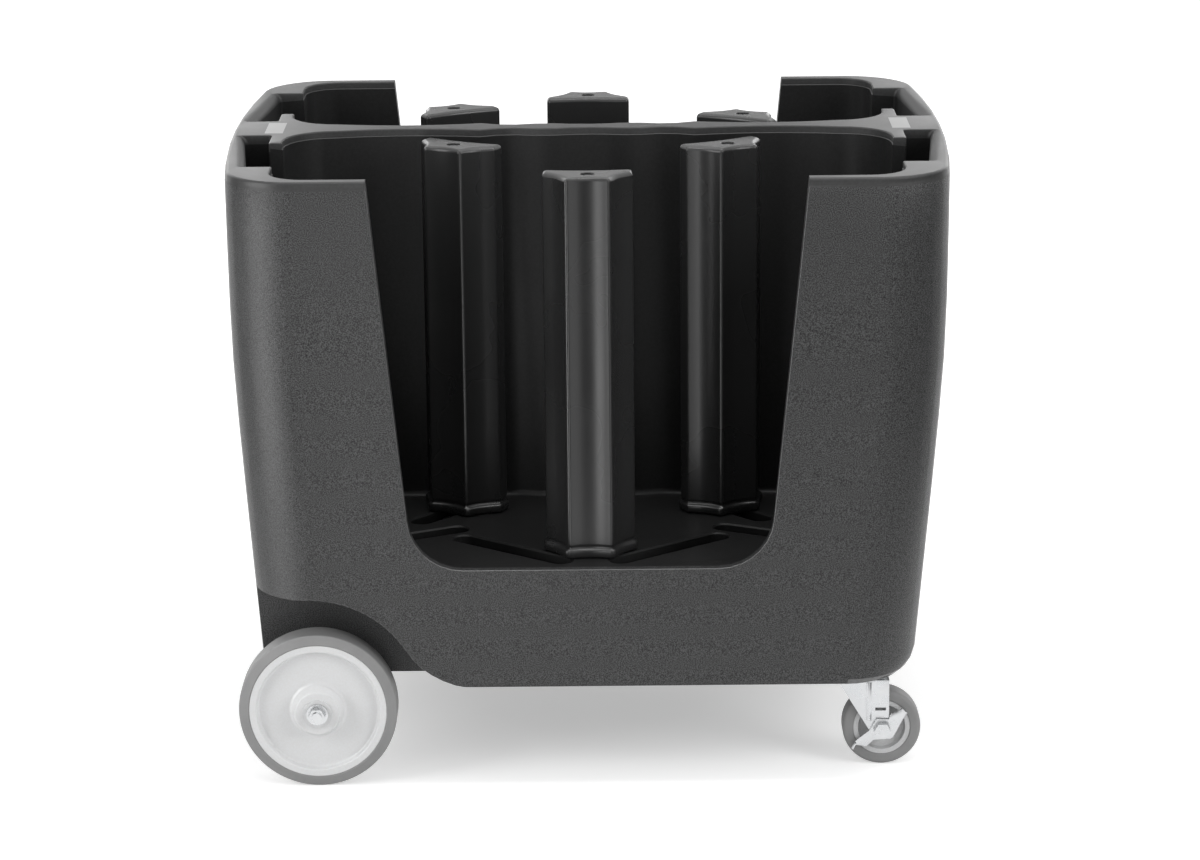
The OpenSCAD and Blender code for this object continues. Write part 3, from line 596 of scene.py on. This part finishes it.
def seat(made: bpy.types.Object, body: str, slot: str, *nodes: str) -> None:
    """Lets a piece ride on its body and stand for frame nodes."""
    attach(made, body)
    if nodes:
        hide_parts(*nodes)
    LOG.info("%s: %d faces on %s", made.name, len(made.data.polygons), body)


# Sub-assemblies


@dataclass(frozen=True)
class Skin:
    """The tub's outer surface as a distance function, for smooth shading.

    In plan it is a rounded rectangle whose ends bow out by bow * (1 - (y / hy)^2).
    Its half sizes shrink below the knee and roll in at the foot and the rim, so
    a point's distance to it changes along all three axes. From band_low to
    band_high it steps in by band, up to the rim.
    """

    length: float = 938.0
    width: float = 732.0
    rim: float = 794.0
    foot: float = 130.0
    bow: float = 24.0
    corner: float = 80.0
    knee: float = 560.0
    blend: float = 40.0
    wheel_end_slope: float = 0.068
    caster_end_slope: float = 0.088
    side_slope: float = 0.03
    end_roll: float = 28.0
    side_roll: float = 6.0
    band: float = 1.5
    band_low: float = 783.0
    band_high: float = 785.0
    rim_roll: float = 4.0

    @staticmethod
    def roll(height: np.ndarray, radius: float) -> np.ndarray:
        """Set-in of a rounded edge at a height above its end."""
        rest = np.clip(radius - np.maximum(height, 0.01), 0, None)
        return radius - np.sqrt(radius ** 2 - rest ** 2)

    def distance(self, point: np.ndarray) -> np.ndarray:
        """Signed distance of points from the surface, close to it.

        Args:
            point: Points in millimetres, shape (n, 3).

        Returns:
            The distances, negative inside.
        """
        x, y, z = point.T
        drop = self.knee - z
        # Zero above the knee and the drop below it, with a smooth bend of the length blend.
        soft = (drop + np.sqrt(drop ** 2 + 4 * self.blend ** 2)) / 2
        top = self.roll(self.rim - z, self.rim_roll)
        rise = (z - self.band_low) / (self.band_high - self.band_low)
        top = top + self.band * np.clip(rise, 0, 1)
        slope = np.where(x > 0, self.caster_end_slope, self.wheel_end_slope)
        end = self.roll(z - self.foot, self.end_roll) + top
        side = self.roll(z - self.foot, self.side_roll) + top
        hx = self.length / 2 - self.bow - slope * soft - end
        hy = self.width / 2 - self.side_slope * soft - side
        r = self.corner - end
        flat = np.abs(x) / (1 + self.bow / hx * (1 - (y / hy) ** 2))
        qx, qy = flat - hx + r, np.abs(y) - hy + r
        outside = np.hypot(np.maximum(qx, 0), np.maximum(qy, 0))
        return outside + np.minimum(np.maximum(qx, qy), 0) - r

    def normal(self, point: np.ndarray) -> np.ndarray:
        """Outward normals, as the gradient of the distance."""
        step = 0.05
        slopes = np.stack([self.distance(point + shift) - self.distance(point - shift)
                           for shift in np.eye(3) * step], -1)
        return slopes / np.maximum(np.linalg.norm(slopes, axis=1, keepdims=True), 1e-9)


@dataclass
class Tub:
    """The one-piece moulded tub with its bays, cutouts, pockets and arches.

    A face belongs to the skin where it lies nearer to it than near and the
    cosine between their normals is above alike. Other faces nearer than lip are
    its rolled edges. The remaining sizes bound the bays.
    """

    skin: Skin = Skin()
    bay_reach: float = 450.0
    bay_front: float = 345.5
    bay_top: float = 784.5
    divider_half: float = 9.0
    floor_low: float = 255.0
    near: float = 0.8
    alike: float = 0.86
    lip: float = 1.6
    crisp_angle: float = 40.0

    def shade(self, tub: bpy.types.Object) -> None:
        """Sets each face's finish, and smooth normals where it lies on the skin.

        Args:
            tub: The welded tub.
        """
        mesh = tub.data
        sharpen(tub, self.crisp_angle)
        normals = settle_normals(tub)
        facing = np.empty(len(mesh.polygons) * 3)
        mesh.polygons.foreach_get("normal", facing)
        points = np.empty(len(mesh.vertices) * 3)
        mesh.vertices.foreach_get("co", points)
        corners = np.empty(len(mesh.loops), np.int64)
        mesh.loops.foreach_get("vertex_index", corners)
        points = points.reshape(-1, 3)[corners] / MM
        facing = facing.reshape(-1, 3)
        centre = points.reshape(-1, 3, 3).mean(1)
        outer = np.abs(self.skin.distance(centre)) < self.near
        outer &= (self.skin.normal(centre) * facing).sum(1) > self.alike
        x, y, z = np.abs(centre.T)
        # Faces inside the bays and pockets take the darker bay colour, which is painted shade.
        inside = (x < self.bay_reach) & (y > self.divider_half) & (y < self.bay_front) & (
            z < self.bay_top) & (z > self.floor_low) & ~outer
        region = np.where(inside, Region.BAY.value, Region.SKIN.value)
        # Rolled edges take the lighter lip colour, which is a painted highlight.
        rolled = ~outer & (np.abs(self.skin.distance(centre)) < self.lip)
        region[rolled] = Region.LIP.value
        region[z > self.skin.band_low] = Region.RIM.value
        mesh.polygons.foreach_set("material_index", region.astype(np.int32))
        formed = self.skin.normal(points)
        close = np.repeat(outer, 3) & ((formed * np.repeat(facing, 3, axis=0)).sum(1) > self.alike)
        normals[close] = formed[close]
        mesh.normals_split_custom_set(normals.tolist())

    def build(self, finishes: Finishes) -> None:
        """Welds the tub's surface and gives each region its finish."""
        tub = welded_copy("body_tub", "tub_surface")
        dress(tub, finishes.skin, finishes.bay, finishes.rim, finishes.lip)
        self.shade(tub)
        seat(tub, "cart", "tub", "body_tub")


@dataclass
class Tower:
    """One upright post: hollow faces, blunt wings, a flanged foot and a rolled top.

    Its section is offset outwards or inwards ring by ring, and the last rings
    close in on the bolt recess. The curves are radii of the hollow faces as
    parts of the width. The narrow face's radius falls with the set-in by a
    power, so that its arc never grows past its corners.
    """

    name: str
    spot: tuple
    turn: float
    top: float = 786.0
    bottom: float = 290.3
    width: float = 114.0
    depth: float = 61.0
    narrow: float = 56.0
    wing: float = 21.0
    wing_dish: float = 9.0
    side_dish: float = 6.0
    narrow_dish: float = 8.0
    edge: float = 5.0
    crown: float = 6.0
    flange: float = 3.0
    foot: float = 12.0
    neck: float = 1.5
    recess: float = 9.0
    recess_depth: float = 8.5
    spigot: float = 14.7
    spigot_depth: float = 11.7
    narrow_curve: float = 0.65
    narrow_power: float = 1.5
    side_curve: float = 0.6
    back_curve: float = 2.4
    steps: int = 7

    def section(self, out: float) -> np.ndarray:
        """Outline of the post grown by a set-out, counterclockwise.

        Args:
            out: Set-out in millimetres, negative inwards.

        Returns:
            The outline's points, shape (n, 2).
        """
        wing, back = self.width / 2 + out, self.depth / 2 + out
        front, narrow = self.depth / 2 + out, self.narrow / 2 + out
        shoulder = self.depth / 2 - self.wing - out
        middle = (wing + narrow) / 2 - self.side_dish
        r = self.edge + max(out, -self.edge / 2)
        corners = [
            (0, self.narrow_dish - front), (narrow, -front), (middle, (shoulder - front) / 2),
            (wing, shoulder), (wing, back), (0, back - self.wing_dish), (-wing, back),
            (-wing, shoulder), (-middle, (shoulder - front) / 2), (-narrow, -front)]
        face = self.width * self.narrow_curve * (narrow / (self.narrow / 2)) ** self.narrow_power
        flank = self.width * self.side_curve
        radii = [face, r, flank, r, r, self.width * self.back_curve, r, r, flank, r]
        return rounded_outline(corners, radii, self.steps)

    @staticmethod
    def circle(like: np.ndarray, radius: float) -> np.ndarray:
        """A circle whose points face those of an outline."""
        angle = np.arctan2(like[:, 1], like[:, 0])
        return radius * np.stack([np.cos(angle), np.sin(angle)], -1)

    def rings(self) -> np.ndarray:
        """All rings from the spigot up over the crown and down into the recess."""
        low, flange = self.bottom, self.bottom + self.foot
        tip, well = low - self.spigot_depth, self.top - self.recess_depth
        base = self.section(0)
        levels = [(self.circle(base, 0.5), tip), (self.circle(base, self.spigot - 1), tip),
                  (self.circle(base, self.spigot), tip + 1), (self.circle(base, self.spigot), low),
                  # The flanged foot, a neck above it and the straight post.
                  (self.section(-1.0), low), (self.section(1.2), low + 1.0),
                  (self.section(self.flange), low + self.flange + 0.5),
                  (self.section(self.flange), flange - 2.5),
                  (self.section(self.flange - 0.8), flange - 1.0),
                  (self.section(0.8), flange), (self.section(-self.neck * 0.6), flange + 1.2),
                  (self.section(-self.neck), flange + 3.0),
                  (self.section(-self.neck * 0.4), flange + 5.0), (base, flange + 7.0),
                  (base, flange + 30.0), (base, (self.top + flange) / 2), (base, self.top - 40.0)]
        levels += [(self.section(-self.crown * (1 - np.cos(angle))),
                    self.top - self.crown * (1 - np.sin(angle)))
                   for angle in np.radians(np.linspace(0, 90, 6))]
        top = self.section(-self.crown)
        inwards = self.circle(top, self.recess + 1.2) - top
        levels += [(top + inwards * part, self.top) for part in (0.35, 0.75, 1.0)]
        levels += [(self.circle(top, self.recess + 0.35), self.top - 0.35),
                   (self.circle(top, self.recess), self.top - 1.2),
                   (self.circle(top, self.recess), well), (self.circle(top, 0.5), well)]
        turn = np.radians(self.turn)
        cos, sin = np.cos(turn), np.sin(turn)
        flat = np.stack([ring for ring, _ in levels])
        x = flat[..., 0] * cos - flat[..., 1] * sin + self.spot[0]
        y = flat[..., 0] * sin + flat[..., 1] * cos + self.spot[1]
        z = np.array([height for _, height in levels])[:, None] * np.ones_like(x)
        return np.stack([x, y, z], -1)

    def build(self, finishes: Finishes) -> None:
        """Lofts the post and dresses it and its bolt and clamp nut."""
        post = loft(self.name + "_post", self.rings())
        dress(post, finishes.tower)
        sharpen(post, CRISP_ANGLE)
        seat(post, self.name, "tower", self.name)
        rest = self.name.removeprefix("tower_")
        dress_nodes(finishes.zinc, "tie_bolt_" + rest, "clamp_nut_" + rest)


@dataclass
class RearWheel:
    """A large fixed wheel: rubber tyre, dished light hub and a flanged bush."""

    side: Side
    axle_back: float = 352.0
    track: float = 667.0
    radius: float = 101.6
    width: float = 42.0
    tyre_depth: float = 13.4
    taper: float = 3.0
    rim_lip: float = 9.0
    web: float = 12.0
    rim_half: float = 20.5
    boss_foot: float = 34.0
    boss: float = 28.5
    boss_out: float = 30.0
    boss_in: float = 20.0
    bore: float = 12.05
    facets: int = 192
    tyre_steps: int = 8
    hub_steps: int = 7

    @property
    def centre(self) -> np.ndarray:
        """Middle of the wheel."""
        return np.array([-self.axle_back, self.side.value * self.track / 2, self.radius])

    def tyre_profile(self) -> np.ndarray:
        """Closed section of the tyre: a flat tread, round shoulders and a crowned side."""
        edge, half = self.radius - self.tyre_depth, self.width / 2
        corners = [(edge, -self.rim_half), (edge + 1.5, -half), (self.radius, self.taper - half),
                   (self.radius, half - self.taper), (edge + 1.5, half), (edge, self.rim_half)]
        return rounded_outline(corners, [0.25, 0.8, 2.5, 2.5, 0.8, 0.25], self.tyre_steps)

    def hub_profile(self) -> np.ndarray:
        """Closed section of the hub: rim ring, groove, flat web and tapered boss."""
        edge, lip = self.radius - self.tyre_depth, self.rim_lip
        corners = [
            (self.bore, -self.boss_in), (self.boss, -self.boss_in), (self.boss_foot, -self.web),
            (edge - lip, -self.web), (edge - lip, -self.rim_half), (edge, -self.rim_half),
            (edge, self.rim_half), (edge - lip, self.rim_half), (edge - lip - 1.5, self.web),
            (self.boss_foot, self.web), (self.boss, self.boss_out), (self.bore, self.boss_out)]
        radii = [1, 3, 3, 3, 1.5, 0.8, 0.8, 1.8, 3.5, 6, 2.2, 0.8]
        return rounded_outline(corners, radii, self.hub_steps)

    def build(self, finishes: Finishes) -> None:
        """Turns the tyre and the hub and dresses the axle parts."""
        word = self.side.word
        for part, form, profile, material, slot in (
                ("tyre", "rubber", self.tyre_profile(), finishes.tyre, "tyre"),
                ("hub", "disc", self.hub_profile(), finishes.hub, "hub")):
            node = f"rear_{part}_{word}"
            made = revolve(f"{node}_{form}", profile, self.centre, self.side.value, self.facets)
            dress(made, material)
            sharpen(made, CRISP_ANGLE)
            seat(made, "rear_wheel_" + word, slot, node)
        dress_nodes(finishes.bush, "rear_bush_" + word)
        dress_nodes(finishes.zinc,
                    "rear_washer_" + word, "rear_nut_" + word, "axle_bracket_" + word)


@dataclass
class Caster:
    """A swivel caster with a pressed fork, a dished wheel and a brake rocker."""

    side: Side
    forward: float = 344.0
    track: float = 551.0
    trail: float = 32.0
    radius: float = 50.8
    width: float = 32.0
    hub_radius: float = 37.0
    hub_lip: float = 6.5
    web: float = 5.0
    boss: float = 13.0
    bore: float = 7.05
    facets: int = 128
    tyre_steps: int = 8
    hub_steps: int = 6
    fork_roll: float = 0.5
    brake_roll: float = 0.4
    pressed_angle: float = 35.0

    @property
    def centre(self) -> np.ndarray:
        """Middle of the caster's wheel."""
        return np.array([self.forward + self.trail, self.side.value * self.track / 2, self.radius])

    def tyre_profile(self) -> np.ndarray:
        """Closed section of the tyre."""
        edge, half = self.hub_radius, self.width / 2
        corners = [(edge, -half + 0.4), (edge + 1.5, -half), (self.radius, -half),
                   (self.radius, half), (edge + 1.5, half), (edge, half - 0.4)]
        return rounded_outline(corners, [0.2, 0.6, 5, 5, 0.6, 0.2], self.tyre_steps)

    def hub_profile(self) -> np.ndarray:
        """Closed section of the hub: rim ring, dished web and boss."""
        edge, half = self.hub_radius, self.width / 2
        inner = edge - self.hub_lip
        corners = [
            (self.bore, -half), (self.boss, -half), (self.boss + 3, -self.web),
            (inner, -self.web), (inner, 1 - half), (edge, 1 - half), (edge, half - 1),
            (inner, half - 1), (inner - 1, self.web), (self.boss + 3, self.web),
            (self.boss, half), (self.bore, half)]
        radii = [0.5, 1, 2.5, 2.5, 1, 0.5, 0.5, 1, 2.5, 2.5, 1, 0.5]
        return rounded_outline(corners, radii, self.hub_steps)

    def build(self, finishes: Finishes) -> None:
        """Turns the wheel, rolls the pressed edges and dresses the small parts."""
        word = self.side.word
        for part, form, profile, material, slot in (
                ("tyre", "rubber", self.tyre_profile(), finishes.caster_tyre, "caster_tread"),
                ("hub", "disc", self.hub_profile(), finishes.caster_hub, "caster_hub")):
            node = f"caster_{part}_{word}"
            made = revolve(f"{node}_{form}", profile, self.centre, self.side.value, self.facets)
            dress(made, material)
            sharpen(made, CRISP_ANGLE)
            seat(made, "caster_wheel_" + word, slot, node)
        for part, body, roll in (("fork", "swivel", self.fork_roll),
                                 ("brake", "brake", self.brake_roll)):
            node = f"caster_{part}_{word}"
            made = welded_copy(node, node + "_pressed")
            dress(made, finishes.zinc)
            soften_edges(made, roll, self.pressed_angle)
            seat(made, f"caster_{body}_{word}", "zinc", node)
        dress_nodes(finishes.zinc, *[f"caster_{part}_{word}" for part in
                                     ("plate", "bolts", "kingpin", "axle", "nut", "sleeve")])


# Studio


def backdrop(board: NodeBoard) -> bpy.types.NodeSocket:
    """One where a ray comes from the camera, a mirror or glass, and zero elsewhere."""
    path = board.add("LightPath")
    seen = board.math("MAXIMUM", path.outputs["Is Camera Ray"], path.outputs["Is Glossy Ray"])
    return board.math("MAXIMUM", seen, path.outputs["Is Transmission Ray"])


@dataclass(frozen=True)
class SoftBox:
    """A large area light at a place, which faces its aim.

    The size is its width and height, and the power is in watts. It can be
    hidden from the camera, and it can leave matt surfaces unlit.
    """

    name: str
    place: tuple
    aim: tuple
    size: tuple
    power: float
    seen: bool = True
    lights_matt: bool = True

    def build(self) -> None:
        """Adds the light to the scene."""
        data = bpy.data.lights.new(self.name, "AREA")
        data.shape = "RECTANGLE"
        data.size, data.size_y = self.size[0] * MM, self.size[1] * MM
        data.energy = self.power
        made = bpy.data.objects.new(self.name, data)
        bpy.context.scene.collection.objects.link(made)
        made.location = Vector(self.place) * MM
        way = Vector(self.aim) - Vector(self.place)
        made.rotation_euler = way.to_track_quat("-Z", "Y").to_euler()
        made.visible_camera = self.seen
        made.visible_diffuse = self.lights_matt


def strip(name: str, azimuth: float, width: float, radiance: float) -> SoftBox:
    """A tall narrow light before the dark card, which shows only as a streak on glossy uprights.

    Args:
        name: Name of the light.
        azimuth: Direction from the cart's middle in degrees, 0 to the front and positive right.
        width: Width in millimetres.
        radiance: Brightness, where 1 is white.

    Returns:
        The light.
    """
    turn, height, away = np.radians(azimuth), 1000.0, 1080.0
    place = (away * np.sin(turn), -away * np.cos(turn), height / 2)
    power = np.pi * radiance * width * height * MM * MM
    return SoftBox(name, place, (0, 0, height / 2), (width, height), power, False, False)


@dataclass(frozen=True)
class DarkCard:
    """A curved card round the cart that only its glossy faces see.

    The turns are where it starts and ends in degrees from the X axis,
    counterclockwise, and the shade is the lighter colour of its cloth.
    """

    name: str
    radius: float
    height: float
    turns: tuple
    shade: float
    foot: float = 0.5
    facets: int = 40
    weave: float = 40.0
    darker: float = 0.8

    def build(self) -> None:
        """Adds the card to the scene."""
        turn = np.radians(np.linspace(*self.turns, self.facets + 1))
        ring = np.stack([self.radius * np.cos(turn), self.radius * np.sin(turn)], -1)
        points = np.concatenate([np.insert(ring, 2, level, axis=1)
                                 for level in (self.foot, self.height)])
        column = np.arange(len(ring) - 1)
        quads = np.stack([column + 1, column, column + len(ring), column + len(ring) + 1], -1)
        made = mesh_object(self.name, points, quads)
        board = blank(self.name + "_cloth")
        face = shader(board)
        colour = board.tint(board.noise(self.weave, 2.0), grey(self.shade * self.darker),
                            grey(self.shade))
        board.join(colour, face.inputs["Base Color"])
        face.inputs["Roughness"].default_value = 1.0
        face.inputs["Specular IOR Level"].default_value = 0.0
        dress(made, board.material)
        made.visible_camera = made.visible_diffuse = made.visible_shadow = False
        made.visible_transmission = made.visible_volume_scatter = False


@dataclass(frozen=True)
class Floor:
    """A wide pale floor that keeps the cart's soft shadow.

    Where the camera sees it, light is added to it, which brings it to white beside the cart and
    far from it, where the lamps fade. Less light is added under the cart, a painted shadow that
    deepens the cart's own soft shadow there. The near and far spans are distances in metres over
    which that light changes.
    """

    shade: float = 0.8
    darker: float = 0.99
    roughness: float = 0.9
    gloss: float = 0.1
    cloud_grain: float = 0.6
    # The least added light, under the cart, is painted shadow.
    under: float = 0.38
    beside: float = 0.5
    away: float = 0.8
    near_span: tuple = (0.15, 0.6)
    far_span: tuple = (1.0, 4.0)
    reach: float = 30000.0
    level: float = -0.2

    def build(self) -> None:
        """Adds the floor to the scene."""
        corners = np.array([(-1, -1), (1, -1), (1, 1), (-1, 1)]) * self.reach
        points = np.insert(corners, 2, self.level, axis=1)
        made = mesh_object("studio_floor", points, np.array([[0, 1, 2, 3]]))
        board = blank("floor_white_painted_shadow")
        face = shader(board)
        cloud = board.noise(self.cloud_grain, 2.0)
        colour = board.tint(board.spread(cloud), grey(self.shade * self.darker), grey(self.shade))
        board.join(colour, face.inputs["Base Color"])
        face.inputs["Roughness"].default_value = self.roughness
        face.inputs["Specular IOR Level"].default_value = self.gloss
        face.inputs["Emission Color"].default_value = (1, 1, 1, 1)
        length = board.add("VectorMath", operation="LENGTH")
        board.join(board.add("TexCoord").outputs["Object"], length.inputs[0])
        distance = length.outputs["Value"]
        # The added light is least under the cart: a painted shadow over the cart's real one.
        light = board.math("ADD", board.band(distance, *self.near_span, self.under, self.beside),
                           board.band(distance, *self.far_span, 0, self.away - self.beside))
        light = board.math("MULTIPLY", light, backdrop(board))
        board.join(light, face.inputs["Emission Strength"])
        dress(made, board.material)


@dataclass(frozen=True)
class Studio:
    """Camera, white surroundings and soft light of the product photograph.

    The eye is in millimetres, the focal length in pixels of a picture of the
    frame width, and the angles are in radians. The surroundings look white and
    light the object at the level called fill.
    """

    eye: tuple = (17.03, -4808.7, 1697.7)
    focal: float = 3680.34
    frame_width: float = 1200.0
    sensor_width: float = 36.0
    pitch: float = 0.2684
    yaw: float = -0.0009
    roll: float = 0.0093
    fill: float = 0.5
    lamps: tuple = (
        SoftBox("top_light", (200, 300, 3600), (0, 0, 400), (3600, 3000), 36),
        SoftBox("overhead_strip", (0, -500, 3200), (0, 0, 400), (2600, 220), 13, seen=False),
        SoftBox("left_light", (-3200, -1800, 1700), (0, 0, 450), (1600, 2400), 50),
        SoftBox("right_light", (3000, -2200, 1900), (0, 0, 450), (1600, 2400), 60),
        SoftBox("back_left_light", (-1600, 3200, 1500), (0, 0, 700), (2000, 1900), 21, seen=False),
        SoftBox("back_right_light", (1600, 3200, 1500), (0, 0, 700), (2000, 1900), 21, seen=False))
    cards: tuple = (
        DarkCard("front_card", 1150.0, 1100.0, (170, 370), 0.02),
        DarkCard("back_card", 1400.0, 1700.0, (72, 108), 0.75))
    strips: tuple = (
        strip("front_strip", -14.0, 200.0, 3.5),
        strip("left_strip", -57.0, 400.0, 5.2),
        strip("right_strip", 22.0, 400.0, 1.05))

    def camera(self) -> None:
        """Sets the camera from its place, pitch, turn and roll."""
        cos, sin = np.cos, np.sin
        across = np.array([cos(self.yaw), -sin(self.yaw), 0])
        ahead = np.array([sin(self.yaw), cos(self.yaw), 0])
        up = np.array([0, 0, 1.0])
        depth = ahead * cos(self.pitch) - up * sin(self.pitch)
        rise = ahead * sin(self.pitch) + up * cos(self.pitch)
        right = across * cos(self.roll) - rise * sin(self.roll)
        top = across * sin(self.roll) + rise * cos(self.roll)
        data = bpy.data.cameras.new("studio_camera")
        data.sensor_width = self.sensor_width
        data.lens = self.focal / self.frame_width * self.sensor_width
        made = bpy.data.objects.new("studio_camera", data)
        bpy.context.scene.collection.objects.link(made)
        turn = Matrix(np.stack([right, top, -depth], 1).tolist()).to_4x4()
        made.matrix_world = Matrix.Translation(Vector(self.eye) * MM) @ turn
        bpy.context.scene.camera = made

    def world(self) -> None:
        """Sets surroundings that look white and light the object at the fill level."""
        made = bpy.data.worlds.new("studio_world")
        made.use_nodes = True
        bpy.context.scene.world = made
        board = NodeBoard(made)
        background = made.node_tree.nodes["Background"]
        strength = board.band(backdrop(board), 0, 1, self.fill, 1.0)
        board.join(strength, background.inputs["Strength"])
        background.inputs["Color"].default_value = (1, 1, 1, 1)

    def build(self) -> None:
        """Sets up the whole studio."""
        self.camera()
        self.world()
        for piece in (Floor(), *self.lamps, *self.cards, *self.strips):
            piece.build()


@dataclass
class Cart:
    """The whole cart and its sub-assemblies."""

    finishes: Finishes
    towers: list = field(default_factory=lambda: [
        Tower("tower_front", (0.0, -284.05), 0),
        Tower("tower_left", (-174.87, -81.58), -30),
        Tower("tower_right", (182.53, -89.88), 30),
        Tower("tower_back", (0.0, 272.10), 180),
        Tower("tower_back_left", (-183.81, 180.10), 210),
        Tower("tower_back_right", (210.12, 119.82), 150)])

    def build(self) -> None:
        """Builds and dresses every sub-assembly."""
        Tub().build(self.finishes)
        for tower in self.towers:
            tower.build(self.finishes)
        for side in Side:
            RearWheel(side).build(self.finishes)
            Caster(side).build(self.finishes)
        dress_nodes(self.finishes.zinc, "rear_axle", "bracket_bolts")


def main() -> None:
    """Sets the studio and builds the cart."""
    logging.basicConfig(level=logging.INFO, format="%(name)s %(message)s")
    scene = bpy.context.scene
    scene.view_settings.view_transform = "Standard"
    Studio().build()
    Cart(Finishes.make()).build()


if __name__ == "__main__":
    main()
